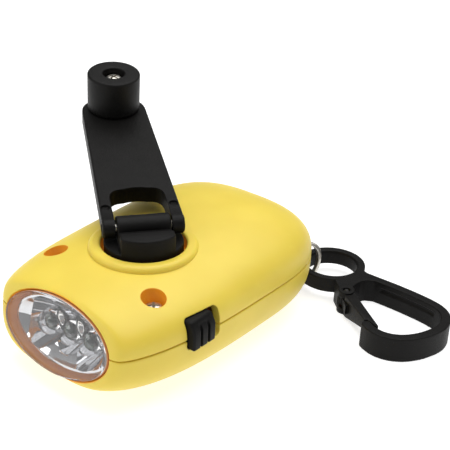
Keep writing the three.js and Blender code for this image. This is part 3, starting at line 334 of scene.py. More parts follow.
LIFT, POST_TOP, LOW_POST_TOP = 0.01, 15.6, 12.7
SLOT_LOW_Y, SLOT_HIGH_Y, SLOT_END_X, SLOT_TOP, SLOT_WALL, SLOT_EDGE = 10.8, 17.2, -40.4, 14.2, 1.6, 1.2
BAR_X, BAR_Z, BAR_LOW_Y, BAR_RADIUS = -47.25, 8.95, 7.0, 1.3
BOARD_POSTS, BOARD_POST_RADIUS, BOARD_POST_TOP = [(4, -8), (4, 13)], 2.0, 10.2
PAD_RADIUS, PAD_TOP, CUP_NEST_RADIUS = 5.0, 3.3, 7.6
CELLS, CELL_NEST_RADIUS, NEST_TOP, NEST_GAP = (-30.5, 9.6), 6.1, 18.0, 0.05
EYE_POCKET_RADIUS, EYE_POCKET_TOP, PILOT_LOW = 11.4, 7.6, 6.7

belly = hollowed(dome("lower_housing", -1, 0, -SEAM, edge=EDGE), -1)
slot_box_low = (-FAR, SLOT_LOW_Y - SLOT_WALL, 2 * LIFT)
inner = trimmed(
    -1,
    block("floor_plate", (-FAR, -FAR, LIFT), (FAR, FAR, WALL)),
    block("slot_box", slot_box_low, (SLOT_END_X + SLOT_WALL, SLOT_HIGH_Y + SLOT_WALL, POST_TOP)),
    *rods("screw_boss", LEG_RADIUS, 3 * LIFT, POST_TOP, WELLS),
    rod("first_post", BOSS_RADIUS, 3 * LIFT, POST_TOP, *FIRST_AXLE),
    rod("second_post", BOSS_RADIUS, 3 * LIFT, LOW_POST_TOP, *SECOND_AXLE),
    *rods("board_post", BOARD_POST_RADIUS, 3 * LIFT, BOARD_POST_TOP, BOARD_POSTS),
    rod("cup_pad", PAD_RADIUS, 3 * LIFT, PAD_TOP, *GENERATOR),
)
belly = joined(belly, inner)
cup_nest = rod("cup_nest", CUP_NEST_RADIUS, PAD_TOP + NEST_GAP, NEST_TOP, *GENERATOR)
bar_hole = rod("bar_hole", BAR_RADIUS, BAR_LOW_Y, SLOT_HIGH_Y + SLOT_WALL, sides=32)
belly = cut(
    belly,
    rounded(block("slot", (-FAR, SLOT_LOW_Y, -8), (SLOT_END_X, SLOT_HIGH_Y, SLOT_TOP)), SLOT_EDGE, 4),
    moved(bar_hole, Matrix.Translation((BAR_X, 0, BAR_Z)) @ SIDEWAYS),
    rod("eye_pocket", EYE_POCKET_RADIUS, -4, EYE_POCKET_TOP, *EYE, 96),
    rod("cell_nest", CELL_NEST_RADIUS, WALL + NEST_GAP, NEST_TOP, *CELLS),
    cut(cup_nest, rod("pad_kept", PAD_RADIUS, WALL, NEST_TOP + 1, *GENERATOR)),
    *rods("pilot", PILOT_RADIUS, PILOT_LOW, NEST_TOP, WELLS, 32),
    *rods("axle_hole", AXLE_HOLE_RADIUS, WALL, NEST_TOP, (FIRST_AXLE, SECOND_AXLE, GENERATOR), 32),
    block("under", (-FAR, -FAR, -FAR), (FAR, FAR, 0)),
    switch_cut(),
    *face_cuts(),
)


class Wire:
    """A shader socket that Python's sums work on. Each sum adds the Math node that it needs."""

    def __init__(self, tree, socket):
        self.tree = tree
        self.socket = socket

    def node(self, kind, settings=None, inputs=None, output=0):
        """Adds any node: its settings first, then the values or wires of its sockets."""
        made = self.tree.nodes.new(kind)
        for name, value in (settings or {}).items():
            setattr(made, name, value)
        for name, value in (inputs or {}).items():
            if isinstance(value, Wire):
                self.tree.links.new(value.socket, made.inputs[name])
            else:
                made.inputs[name].default_value = value
        return Wire(self.tree, made.outputs[output])

    def sum(self, operation, first, second):
        return self.node("ShaderNodeMath", {"operation": operation}, {0: first, 1: second})

    def __add__(self, other):
        return self.sum("ADD", self, other)

    def __sub__(self, other):
        return self.sum("SUBTRACT", self, other)

    def __rsub__(self, other):
        return self.sum("SUBTRACT", other, self)

    def __mul__(self, other):
        return self.sum("MULTIPLY", self, other)

    __radd__ = __add__
    __rmul__ = __mul__

    def mix(self, first, second):
        """Blends two colours by this mask."""
        return self.node("ShaderNodeMix", {"data_type": "RGBA"}, {"Factor": self, 6: first, 7: second}, 2)

    def noise(self, size, detail=3.0, roughness=0.5):
        """Even noise from 0 to 1 with grains of that size in millimetres."""
        inputs = {"Vector": self, "Scale": 1 / (size * MM), "Detail": detail, "Roughness": roughness}
        return self.node("ShaderNodeTexNoise", {}, inputs)

    def axes(self):
        """The X, Y and Z of this place in millimetres."""
        return [self.node("ShaderNodeSeparateXYZ", {}, {0: self}, axis) * (1 / MM) for axis in range(3)]

    def band(self, low, high):
        """0 below low and 1 above high, smooth between."""
        settings = {"interpolation_type": "SMOOTHSTEP"}
        return self.node("ShaderNodeMapRange", settings, {"Value": self, "From Min": low, "From Max": high})

    def raised(self, height, edge=0.0):
        """The surface normal with this pattern raised by a height in millimetres, edges rounded by edge."""
        inputs = {"Height": self, "Distance": height * MM, "Strength": 1.0}
        if edge:
            inputs["Normal"] = self.node("ShaderNodeBevel", {"samples": 6}, {"Radius": edge * MM})
        return self.node("ShaderNodeBump", {}, inputs)


def finish(name, constants, make):
    """A material: constant sockets, then what changes over the surface, from the place on the piece."""
    material = bpy.data.materials.new(name)
    material.use_nodes = True
    tree = material.node_tree
    shader = tree.nodes["Principled BSDF"]
    for socket, value in constants.items():
        shader.inputs[socket].default_value = value
    place = Wire(tree, tree.nodes.new("ShaderNodeTexCoord").outputs["Object"])
    for socket, wire in make(place).items():
        tree.links.new(wire.socket, shader.inputs[socket])
    return material


def inside_circle(x, y, centre, radius, soft):
    """1 within a radius of a centre and 0 past it, with a soft edge."""
    across, along = x - centre[0], y - centre[1]
    return 1 - (across * across + along * along).band(radius**2, (radius + soft) ** 2)


def yellow_plastic(place):
    """Bright yellow moulding: cloudy colour, a fine eroded grain, and a painted orange glow in its hollows.
    """
    cloud = place.noise(14, 2)
    grain = place.noise(0.22, 2, 0.6)
    rub = place.noise(5, 4, 0.7).band(0.6, 0.85)
    colour = cloud.band(0.3, 0.7).mix((0.80, 0.61, 0.075, 1), (0.84, 0.65, 0.088, 1))
    colour = rub.mix(colour, (0.85, 0.67, 0.09, 1))
    x, y, z = place.axes()
    # Painted glow: the crank recess, knob notch, screw wells and lens seat are coloured deeper orange and
    # made to glow faintly, in place of the light that passes and bounces inside the plastic there.
    below_lip = 1 - z.band(RING_TOP - 1, RING_TOP - 0.5)
    recess = inside_circle(x, y, (0, 0), RECESS_RADIUS + 0.2, 0.5) * below_lip
    above_floor = z.band(NOTCH_FLOOR - 0.3, NOTCH_FLOOR)
    notch = inside_circle(x, y, (NOTCH_X, 0), NOTCH_RADIUS + 0.02, 0.23) * above_floor
    hollow = recess + notch * 0.55
    for well in WELLS:
        hollow = hollow + inside_circle(x, y, well, WELL_RADIUS + 0.02, 0.13) * z.band(20, 20.5)
    depth = (FACE_X - x) * math.cos(FACE_LEAN) + (FACE_Z - z) * math.sin(FACE_LEAN)
    rise = (FACE_X - x) * math.sin(FACE_LEAN) + (z - FACE_Z) * math.cos(FACE_LEAN)
    across, along = y * (1 / (SEAT_HALF_WIDTH + 0.4)), rise * (1 / (SEAT_HALF_HEIGHT + 0.45))
    in_seat = 1 - (across * across + along * along).band(0.97, 1.0)
    hollow = hollow + depth.band(0.25, 0.7) * in_seat * (1 - depth.band(SEAT_DEPTH, SEAT_DEPTH + 0.5))
    return {
        # Painted glow: a deeper orange colour and a faint orange emission inside the hollows.
        "Base Color": hollow.mix(colour, (0.82, 0.38, 0.02, 1)),
        "Emission Color": hollow.mix((0, 0, 0, 1), (0.10, 0.03, 0.002, 1)),
        "Roughness": 0.38 + grain * 0.1 - rub * 0.06,
        "Normal": grain.raised(0.012, 0.25),
    }


YELLOW = finish(
    "yellow_plastic",
    {
        "Subsurface Weight": 0.12,
        "Subsurface Radius": (1.0, 0.45, 0.08),
        "Subsurface Scale": 1.2 * MM,
        "Specular IOR Level": 0.4,
        "IOR": 1.5,
        # Strength of the painted orange glow in the hollows.
        "Emission Strength": 1.0,
    },
    yellow_plastic,
)
for shape, node in ((crown, "upper_shell"), (belly, "lower_shell")):
    shape.data.materials.clear()
    shape.data.materials.append(YELLOW)
    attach(shape, "housing")
    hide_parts(node)

# Lens: a clear oval plate of moulded acrylic, 1.5 mm thick with polished faces and a satin rim, pressed
# into its seat level with the face. Light caught in its rim shows as a thin line, partly painted into the
# rim's white colour.
LENS_BACK = [(16.9, 8.85, 1.5), (17.15, 9.1, 1.35)]
LENS_FRONT = [(17.2, 9.15, 0.3), (17.12, 9.07, 0.1), (16.95, 8.9, 0.02), (16.7, 8.65, 0)]
FACE_ON = 0.85
lens = oval("clear_lens", LENS_BACK + LENS_FRONT)


def clear_acrylic(place):
    """Polished clear plastic with faint scuffs."""
    scuff = place.noise(1.6, 5, 0.75)
    return {"Roughness": scuff.band(0.62, 0.9) * 0.06 + 0.01, "Normal": place.noise(9, 1).raised(0.01)}


def satin_rim(place):
    """The rim: satin white at the front, partly a painted highlight; orange against the seat, a painted
    reflection of it.
    """
    grain = place.noise(0.3, 3)
    x, _, z = place.axes()
    depth = (FACE_X - x) * math.cos(FACE_LEAN) + (FACE_Z - z) * math.sin(FACE_LEAN)
    # Partly painted highlight: the white front of the rim also stands in for the light that the rim catches.
    white = grain.mix((0.86, 0.86, 0.86, 1), (0.97, 0.97, 0.97, 1))
    # Painted reflection: the back of the rim, against the seat, is coloured orange for the yellow seat seen
    # in it.
    orange = grain.mix((0.90, 0.42, 0.16, 1), (0.95, 0.55, 0.30, 1))
    return {"Base Color": depth.band(0.12, 0.3).mix(white, orange), "Roughness": 0.3 + grain * 0.1}


clear = {"Base Color": (1, 1, 1, 1), "Transmission Weight": 1.0, "IOR": 1.47, "Specular IOR Level": 0.5}
ACRYLIC = finish("clear_acrylic", clear, clear_acrylic)
RIM = finish("satin_rim", {"Transmission Weight": 0.35, "IOR": 1.47}, satin_rim)


def dress(shape, material, body, *nodes):
    """Gives a finished piece its material and body, in place of its CAD nodes."""
    shape.data.materials.clear()
    shape.data.materials.append(material)
    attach(shape, body)
    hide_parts(*nodes)


dress(lens, ACRYLIC, "housing", "front_lens")
lens.data.materials.append(RIM)
axis = FACE.to_3x3() @ Vector((1, 0, 0))
for side in lens.data.polygons:
    side.material_index = 1 if abs(side.normal.dot(axis)) < FACE_ON else 0

# Reflector: one plastic moulding plated mirror bright, an oval dish with a cup round each LED and a
# seating flange behind. It drops in from the front and is held down by the lens.
DISH_RIM_DEPTH = 3.2
SKIRT_ROWS = [(14.9, 7.0, 12.4), (14.9, 7.0, 9.2), (17.2, 9.1, 9.2), (17.2, 9.1, 8.0), (15.8, 7.8, 8.0)]
RIM_ROWS = [(15.8, 7.8, DISH_RIM_DEPTH + 0.15), (15.65, 7.65, DISH_RIM_DEPTH)]
rim = oval("bright_reflector", SKIRT_ROWS + RIM_ROWS)


def bowl(name, half_width, half_height, depth, y, fullness=2.0, steps=20, sides=96):
    """A bowl-shaped cutter with its rim level with the rim of the dish, open to the front."""
    points, faces = [], []
    shares = [step / steps for step in range(1, steps + 1)]
    rows = [(share, (share**fullness - 1) * depth) for share in shares] + [(1.0, 2 * DISH_RIM_DEPTH)]
    for share, lift in rows:
        for index in range(sides):
            turn = 2 * math.pi * index / sides
            across, along = half_width * share * math.cos(turn), half_height * share * math.sin(turn)
            points.append((lift - DISH_RIM_DEPTH, y + across, along))
    for row in range(steps):
        for index in range(sides):
            here, beside = row * sides + index, row * sides + (index + 1) % sides
            faces.append((here, beside, beside + sides, here + sides))
    points.append((-depth - DISH_RIM_DEPTH, y, 0))
    faces += [(len(points) - 1, (index + 1) % sides, index) for index in range(sides)]
    faces.append(tuple(steps * sides + index for index in range(sides)))
    return moved(piece_from(name, points, faces), FACE)


LED_PLACES = (-6.6, 0.0, 6.6)
DISH_HALF_WIDTH, DISH_HALF_HEIGHT, DISH_DEPTH, DISH_FULLNESS = 15.1, 7.1, 3.4, 3.0
CUP_RADIUS, CUP_DEPTH, LED_HOLE_RADIUS, LED_HOLE_LOW, LED_HOLE_HIGH = 6.4, 7.6, 2.8, 2.0, 16.0
tools = [bowl("dish", DISH_HALF_WIDTH, DISH_HALF_HEIGHT, DISH_DEPTH, 0, DISH_FULLNESS)]
tools += [bowl(f"cup_{index}", CUP_RADIUS, CUP_RADIUS, CUP_DEPTH, y) for index, y in enumerate(LED_PLACES)]
for index, y in enumerate(LED_PLACES):
    hole = rod(f"led_hole_{index}", LED_HOLE_RADIUS, LED_HOLE_LOW, LED_HOLE_HIGH, sides=48)
    backward = Matrix.Translation((0, y, 0)) @ Matrix.Rotation(math.radians(-90), 4, "Y")
    tools.append(moved(hole, FACE @ backward))
for tool in tools:
    rim = cut(rim, tool, smooth_degrees=25)


def mirror_plating(place):
    """Vapour-deposited mirror coat over moulded plastic, with faint ripple and specks."""
    speck = place.noise(0.5, 4, 0.8).band(0.7, 0.8)
    return {
        "Base Color": speck.mix((0.60, 0.605, 0.62, 1), (0.32, 0.32, 0.33, 1)),
        "Roughness": speck * 0.2 + 0.05,
        "Normal": place.noise(3.0, 2).raised(0.03),
    }


PLATING = finish("mirror_plating", {"Metallic": 1.0}, mirror_plating)
dress(rim, PLATING, "housing", "reflector")

# LEDs: three 5 mm lamps of clear cast resin with a domed top and a flange. In each stands a bright
# stamped cup on its post.
led_points = bpy.data.meshes.new("led_places")
led_points.from_pydata([FACE @ Vector((0, y, 0)) * MM for y in LED_PLACES], [], [])


def lamp_tree(name, pattern, material):
    """A node tree that puts a lamp part at each of the places."""
    tree = bpy.data.node_groups.new(name, "GeometryNodeTree")
    tree.interface.new_socket("Geometry", in_out="INPUT", socket_type="NodeSocketGeometry")
    size = tree.interface.new_socket("Size", in_out="INPUT", socket_type="NodeSocketFloat")
    size.default_value = 1.0
    tree.interface.new_socket("Geometry", in_out="OUTPUT", socket_type="NodeSocketGeometry")
    source = tree.nodes.new("NodeGroupInput")
    result = tree.nodes.new("NodeGroupOutput")
    info = tree.nodes.new("GeometryNodeObjectInfo")
    info.inputs["As Instance"].default_value = True
    info.inputs["Object"].default_value = pattern
    lay = tree.nodes.new("GeometryNodeInstanceOnPoints")
    realize = tree.nodes.new("GeometryNodeRealizeInstances")
    paint = tree.nodes.new("GeometryNodeSetMaterial")
    paint.inputs["Material"].default_value = material
    for start, end in (
        (source.outputs["Geometry"], lay.inputs["Points"]),
        (info.outputs["Geometry"], lay.inputs["Instance"]),
        (source.outputs["Size"], lay.inputs["Scale"]),
        (lay.outputs["Instances"], realize.inputs["Geometry"]),
        (realize.outputs["Geometry"], paint.inputs["Geometry"]),
        (paint.outputs["Geometry"], result.inputs["Geometry"]),
    ):
        tree.links.new(start, end)
    return tree, size.identifier


def lamps(name, pattern, material):
    """Copies a lamp part to every LED place, as one plain mesh."""
    shape = bpy.data.objects.new(name, led_points.copy())
    bpy.context.scene.collection.objects.link(shape)
    tree, size = lamp_tree(f"{name}_places", pattern, material)
    step = shape.modifiers.new("places", "NODES")
    step.node_group = tree
    step[size] = 1.0
    shape = worked(shape)
    bpy.data.objects.remove(pattern)
    return shape


def clear_resin(place):
    """Clear cast resin, slightly wavy."""
    cloud = place.noise(2.0, 3).band(0.3, 0.9)
    return {"Roughness": cloud * 0.05, "Normal": place.noise(1.4, 1).raised(0.02)}


def bright_stamping(place):
    """Bright silver-plated stamping."""
    streak = place.noise(0.3, 3, 0.7)
    colour = streak.mix((0.8, 0.8, 0.8, 1), (0.95, 0.95, 0.93, 1))
    return {"Base Color": colour, "Roughness": 0.12 + streak * 0.15}


clear = {"Base Color": (1, 1, 1, 1), "Transmission Weight": 1.0, "IOR": 1.5}
RESIN = finish("clear_resin", clear, clear_resin)
STAMPING = finish("bright_stamping", {"Metallic": 1.0}, bright_stamping)
LED_TURN = FACE.to_3x3().to_4x4() @ Matrix.Rotation(math.radians(90), 4, "Y")
LAMP_RADIUS, LAMP_FOOT, FLANGE_RADIUS, FLANGE_TOP, DOME_CENTRE = 2.5, -13.4, 2.9, -12.4, -7.3
lamp_side = [(0, LAMP_FOOT), (FLANGE_RADIUS, LAMP_FOOT), (FLANGE_RADIUS, FLANGE_TOP)]
lamp_side += [(LAMP_RADIUS, FLANGE_TOP)]
lamp_side += arc(0, DOME_CENTRE, LAMP_RADIUS, 0, 90, 8)[:-1] + [(0, DOME_CENTRE + LAMP_RADIUS)]
lamp = moved(turned("lamp", lamp_side, sides=48), LED_TURN)
dress(lamps("led_resin", lamp, RESIN), RESIN, "housing", "led_1", "led_2", "led_3")
anvil_side = [(0, -12.8), (0.35, -12.8), (0.35, -9.8), (1.0, -9.4), (1.0, -8.6), (0.85, -8.6), (0.5, -9.1)]
anvil = moved(turned("anvil", anvil_side + [(0, -9.1)], sides=32), LED_TURN)
anvils = lamps("led_anvils", anvil, STAMPING)
anvils.data.materials.clear()
anvils.data.materials.append(STAMPING)
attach(anvils, "housing")

# Crank rotor: a black moulded turntable with a drive block, a hinge barrel and a square stem that goes
# down through the bearing to the drive gear.
CRANK = Matrix.Rotation(math.radians(52.6), 4, "Z")
HINGE_X, HINGE_Z, PIN_HOLE_RADIUS, BARREL_RADIUS, BARREL_HALF = -1.2, 31.5, 1.3, 2.9, 6.7
DISC_RADIUS, DISC_LOW, DISC_TOP, DISC_EDGE, BLOCK_TOP, BLOCK_BACK_X = 10.0, 24.9, 28.4, 0.4, 32.8, 4.6
STEM_RADIUS, STEM_LOW, SQUARE_HALF, SQUARE_LOW, SCREW_HOLE_RADIUS = 3.3, 22.6, 2.2, 19.4, 1.4
BLOCK_HALF_TURN = math.radians(42.07)


def along_y(name, radius, low, high, x, z, sides=64, edge=0.0):
    """A round bar along Y, its ends chamfered by the edge."""
    profile = [(radius, low), (radius, high)]
    if edge:
        profile = [(radius - edge, low), (radius, low + edge), (radius, high - edge), (radius - edge, high)]
    bar = turned(name, [(0, low), *profile, (0, high)], sides=sides)
    return moved(bar, Matrix.Translation((x, 0, z)) @ SIDEWAYS)


def black_plastic(place):
    """Black moulding with an eroded fine grain that catches light in specks, and paler specks of dust."""
    grain = place.noise(0.28, 2, 0.65)
    patch = place.noise(6, 3)
    dust = place.noise(0.4, 3, 0.8).band(0.68, 0.74)
    colour = patch.mix((0.0045, 0.0043, 0.004, 1), (0.009, 0.0085, 0.008, 1))
    return {
        "Base Color": dust.mix(colour, (0.09, 0.088, 0.085, 1)),
        "Roughness": 0.36 + grain * 0.2,
        "Normal": grain.raised(0.06, 0.3),
    }


BLACK = finish("black_plastic", {"Specular IOR Level": 0.11, "IOR": 1.5}, black_plastic)
disc_side = [(0, DISC_LOW), (DISC_RADIUS - 0.1, DISC_LOW), (DISC_RADIUS, DISC_LOW + 0.1)]
disc_side += arc(DISC_RADIUS - DISC_EDGE, DISC_TOP - DISC_EDGE, DISC_EDGE, 0, 90, 4) + [(0, DISC_TOP)]
disc = turned("rotor", disc_side, sides=160)
turns = [BLOCK_HALF_TURN * (step / 16 - 1) for step in range(33)]
front = [(DISC_RADIUS * math.cos(turn), DISC_RADIUS * math.sin(turn)) for turn in turns]
front += [(BLOCK_BACK_X, BARREL_HALF), (BLOCK_BACK_X, -BARREL_HALF)]
front = rounded(prism("drive_block", front, DISC_TOP - 1.4, BLOCK_TOP), 0.35)
web_low, web_high = (-3.6, -BARREL_HALF, DISC_TOP - 1.4), (BLOCK_BACK_X + 0.6, BARREL_HALF, HINGE_Z)
web = rounded(block("web", web_low, web_high), 0.3)
barrel = along_y("barrel", BARREL_RADIUS, -BARREL_HALF, BARREL_HALF, HINGE_X, HINGE_Z, 96, 0.25)
stem = rod("stem", STEM_RADIUS, STEM_LOW, DISC_LOW + 1.1)
square = block("square", (-SQUARE_HALF, -SQUARE_HALF, SQUARE_LOW), (SQUARE_HALF, SQUARE_HALF, STEM_LOW + 1.4))
rotor = joined(disc, front, web, barrel, stem, rounded(square, 0.25))
pin_hole = along_y("pin_hole", PIN_HOLE_RADIUS, -2 * BARREL_HALF, 2 * BARREL_HALF, HINGE_X, HINGE_Z, 32)
rotor = cut(rotor, pin_hole, rod("screw_hole", SCREW_HOLE_RADIUS, 15, DISC_LOW - 0.3, sides=32))
dress(moved(rotor, CRANK), BLACK, "crank", "crank_rotor")

# Crank arm: a black moulded lever with a window for the drive block, two hinge lugs with a dimple
# each, and a post that the knob turns on.
FOLD = Matrix.Rotation(math.radians(180), 4, "Z") @ Matrix.Rotation(math.radians(-9.6), 4, "Y")
ARM = CRANK @ Matrix.Translation((HINGE_X, 0, HINGE_Z)) @ FOLD
REACH, END, HALF, CORNER = 55.2, 60.2, 2.3, 6.5
HINGE_Y, KNOB_Y, KNUCKLE_RADIUS, POST_RADIUS, POST_HEIGHT = 10.25, 9.25, 2.5, 2.2, 7.6
WINDOW_BACK, WINDOW_X, WINDOW_Y, WINDOW_CORNER, WINDOW_BOW = -6.0, 13.2, 7.1, 4.0, 1.0
DIMPLE_X, DIMPLE_SIDE = 5.6, [(0, 1.5), (0.8, 1.55), (1.15, 1.8), (1.2, 2.2), (1.3, 4), (0, 4)]


def quarter(start, control, end, steps=10):
    """Points along a rounded corner, its ends with them."""
    shares = [step / steps for step in range(steps + 1)]
    return [
        tuple((1 - t) ** 2 * a + 2 * t * (1 - t) * b + t * t * c for a, b, c in zip(start, control, end))
        for t in shares
    ]


outline = [(0, -HINGE_Y)] + quarter((END - CORNER, -KNOB_Y), (END, -KNOB_Y), (END, -KNOB_Y + CORNER))
outline += quarter((END, KNOB_Y - CORNER), (END, KNOB_Y), (END - CORNER, KNOB_Y)) + [(0, HINGE_Y)]
arm = rounded(prism("arm", outline, -HALF, HALF), 0.5, 4)
knuckle = along_y("knuckle", KNUCKLE_RADIUS, -HINGE_Y, HINGE_Y, 0, 0, 64, 0.4)
post_side = [(0, 0), (POST_RADIUS, 0), (POST_RADIUS, POST_HEIGHT - 0.2), (POST_RADIUS - 0.2, POST_HEIGHT)]
post = turned("post", post_side + [(0, POST_HEIGHT)], REACH, 0)
arm = joined(arm, knuckle, post)
straight_x, straight_y = WINDOW_X - WINDOW_CORNER, WINDOW_Y - WINDOW_CORNER
window = [(WINDOW_BACK, -WINDOW_Y)]
window += quarter((straight_x, -WINDOW_Y), (WINDOW_X, -WINDOW_Y), (WINDOW_X, -straight_y))
window += quarter((WINDOW_X, -straight_y), (WINDOW_X + WINDOW_BOW, 0), (WINDOW_X, straight_y))[1:-1]
window += quarter((WINDOW_X, straight_y), (WINDOW_X, WINDOW_Y), (straight_x, WINDOW_Y))
window = prism("arm_window", window + [(WINDOW_BACK, WINDOW_Y)], -8, 8)
lug_middle = (HINGE_Y + WINDOW_Y) / 2
dimples = [turned("dimple", DIMPLE_SIDE, DIMPLE_X, y, 32) for y in (-lug_middle, lug_middle)]
pin_hole = along_y("pin_hole", PIN_HOLE_RADIUS, -2 * BARREL_HALF, 2 * BARREL_HALF, 0, 0, 32)
screw_hole = rod("screw_hole", SCREW_HOLE_RADIUS, HALF + 0.3, 12, REACH, 0, 32)
arm = cut(arm, window, pin_hole, screw_hole, *dimples)
dress(moved(arm, ARM), BLACK, "arm", "crank_arm")

# Knob: a short black moulded barrel that spins on the arm's post. Its end is counterbored for the screw
# that holds it.
KNOB_LOW, KNOB_TOP, KNOB_RADIUS, KNOB_EDGE = 2.6, 13.5, 7.5, 0.55
COUNTERBORE_RADIUS, COUNTERBORE_FLOOR, COUNTERBORE_EDGE, KNOB_BORE_RADIUS = 3.1, 10.5, 0.4, 2.5
knob_side = [(0, KNOB_LOW), (KNOB_RADIUS - 0.4, KNOB_LOW)]
knob_side += arc(KNOB_RADIUS - 0.5, KNOB_LOW + 0.5, 0.5, -60, 0, 3)
knob_side += arc(KNOB_RADIUS - KNOB_EDGE, KNOB_TOP - KNOB_EDGE, KNOB_EDGE, 0, 90, 6)
bore_lip = COUNTERBORE_RADIUS + COUNTERBORE_EDGE
knob_side += arc(bore_lip, KNOB_TOP - COUNTERBORE_EDGE, COUNTERBORE_EDGE, 90, 180, 5)
knob_side += [(COUNTERBORE_RADIUS, COUNTERBORE_FLOOR), (0, COUNTERBORE_FLOOR)]
knob = turned("knob_barrel", knob_side, REACH, 0, 128)
post_hole = rod("post_hole", KNOB_BORE_RADIUS, 0, POST_HEIGHT + 0.3, REACH, 0, 48)
knob = cut(knob, post_hole, rod("screw_hole", SCREW_HOLE_RADIUS, 0, 12, REACH, 0, 32))
dress(moved(knob, ARM), BLACK, "knob", "knob")

# Screws: plated steel pan heads with a cross recess, turned and cold headed. One holds the knob and two
# stand deep in the housing's wells.
SHANK_RADIUS, HEAD_HEIGHT, SLOT_HALF_LENGTH, SLOT_HALF_WIDTH, SLOT_FLOOR = 1.1, 1.6, 1.45, 0.3, 0.5
HEAD_SIDE = [(2.3, 0), (2.4, 0.1), (2.4, 0.7), (2.15, 1.1), (1.6, 1.45), (0.8, 1.58), (0, HEAD_HEIGHT)]


def cross_screw(name, head, shank_low, x, y):
    """A pan head screw with its recess cut by two crossed bars."""
    profile = [(0, shank_low), (0.7, shank_low), (SHANK_RADIUS, shank_low + 1.2), (SHANK_RADIUS, head)]
    screw = turned(name, profile + [(radius, head + height) for radius, height in HEAD_SIDE], x, y, 64)
    for turn in (45, 135):
        low, high = (-SLOT_HALF_LENGTH, -SLOT_HALF_WIDTH), (SLOT_HALF_LENGTH, SLOT_HALF_WIDTH)
        bar = block("recess", (*low, head + SLOT_FLOOR), (*high, head + 2 * HEAD_HEIGHT))
        bar = moved(bar, Matrix.Translation((x, y, 0)) @ Matrix.Rotation(math.radians(turn), 4, "Z"))
        screw = cut(screw, bar)
    return screw


def plated_steel(place):
    """Plated steel with turning marks and a little tarnish."""
    scratch = place.noise(0.35, 5, 0.75)
    tarnish = place.noise(1.8, 3).band(0.45, 0.75)
    return {
        "Base Color": tarnish.mix((0.72, 0.69, 0.63, 1), (0.5, 0.45, 0.38, 1)),
        "Roughness": 0.24 + scratch * 0.2 + tarnish * 0.1,
        "Normal": scratch.raised(0.01),
    }


STEEL = finish("plated_steel", {"Metallic": 1.0}, plated_steel)
knob_fixing = cross_screw("knob_fixing_screw", COUNTERBORE_FLOOR + 0.3, HALF + 0.6, REACH, 0)
dress(moved(knob_fixing, ARM), STEEL, "arm", "knob_screw")
for word, place in zip(("near", "far"), WELLS):
    screw = cross_screw(f"well_screw_{word}", WELL_FLOOR + 0.3, PILOT_LOW + 0.3, *place)
    dress(screw, STEEL, "housing", f"housing_screw_{word}")

# Slide switch: a black moulded thumb piece with two grooves across it and a chamfered top edge. It slides
# between the halves of the housing, which overlap its flange.
THUMB_X, THUMB_LENGTH, THUMB_BACK_Y, THUMB_EDGE = 4.5, 7.8, 22.3, 0.6
THUMB_SIDE = [(THUMB_BACK_Y, 13.4), (27.6, 13.4), (27.6, 18.2), (26.2, 20.8), (THUMB_BACK_Y, 20.8)]
GROOVES_X, GROOVE_HALF, GROOVE_BOTTOM_Y = (7.1, 9.7), 0.45, 26.8
Y_Z_TO_X = Matrix(((0, 0, 1, 0), (1, 0, 0, 0), (0, 1, 0, 0), (0, 0, 0, 1)))
thumb = prism("thumb_piece", THUMB_SIDE, 0, THUMB_LENGTH)
thumb = rounded(moved(thumb, Matrix.Translation((THUMB_X, 0, 0)) @ Y_Z_TO_X), THUMB_EDGE, 5)
flange = rounded(block("flange", (3.7, 21.6, 13.1), (12.3, 22.6, 20.8)), 0.2)
tab = block("tab", (7.4, 19.8, 14.7), (9.4, 22.6, 16.3))
thumb = joined(thumb, flange, tab)
grooves = []
for index, x in enumerate(GROOVES_X):
    low, high = (x - GROOVE_HALF, GROOVE_BOTTOM_Y, 10), (x + GROOVE_HALF, ABOVE, 24)
    grooves.append(rounded(block(f"groove_{index}", low, high), 0.2))
thumb = cut(thumb, *grooves)
dress(thumb, BLACK, "switch", "switch_button")

# Split ring: two turns of flat spring wire wound side by side, through the bar in the housing's tail and
# through the eye of the carabiner.
RING = Matrix.Translation((-49.4, 16.0, 6.95)) @ Matrix.Rotation(math.radians(-8), 4, "Z")
WIRE_MIDDLE, WIRE_HALF_WIDTH, WIRE_HALF_HEIGHT, WIRE_CORNER = 6.175, 0.57, 0.36, 0.12
RING_TURNS, RING_PITCH = 1.94, 0.84


def wire_ring(name, steps=96):
    """Flat wire with rounded corners wound about Y, each turn a pitch further on."""
    section = []
    flat_x, flat_y = WIRE_HALF_WIDTH - WIRE_CORNER, WIRE_HALF_HEIGHT - WIRE_CORNER
    for x, y, start in ((1, 1, 0), (-1, 1, 90), (-1, -1, 180), (1, -1, 270)):
        section += arc(x * flat_x, y * flat_y, WIRE_CORNER, start, start + 90, 3)
    count, total = len(section), int(steps * RING_TURNS)
    points, faces = [], []
    for step in range(total + 1):
        turn = 2 * math.pi * step / steps
        shift = RING_PITCH * (step / total - 0.5)
        for across, along in section:
            radius = WIRE_MIDDLE + across
            points.append((radius * math.cos(turn), shift + along, radius * math.sin(turn)))
    for step in range(total):
        for index in range(count):
            here, beside = step * count + index, step * count + (index + 1) % count
            faces.append((here, beside, beside + count, here + count))
    faces += [tuple(range(count)), tuple(total * count + index for index in range(count))]
    return piece_from(name, points, faces)


dress(moved(wire_ring("spring_wire_ring"), RING), STEEL, "ring", "split_ring")

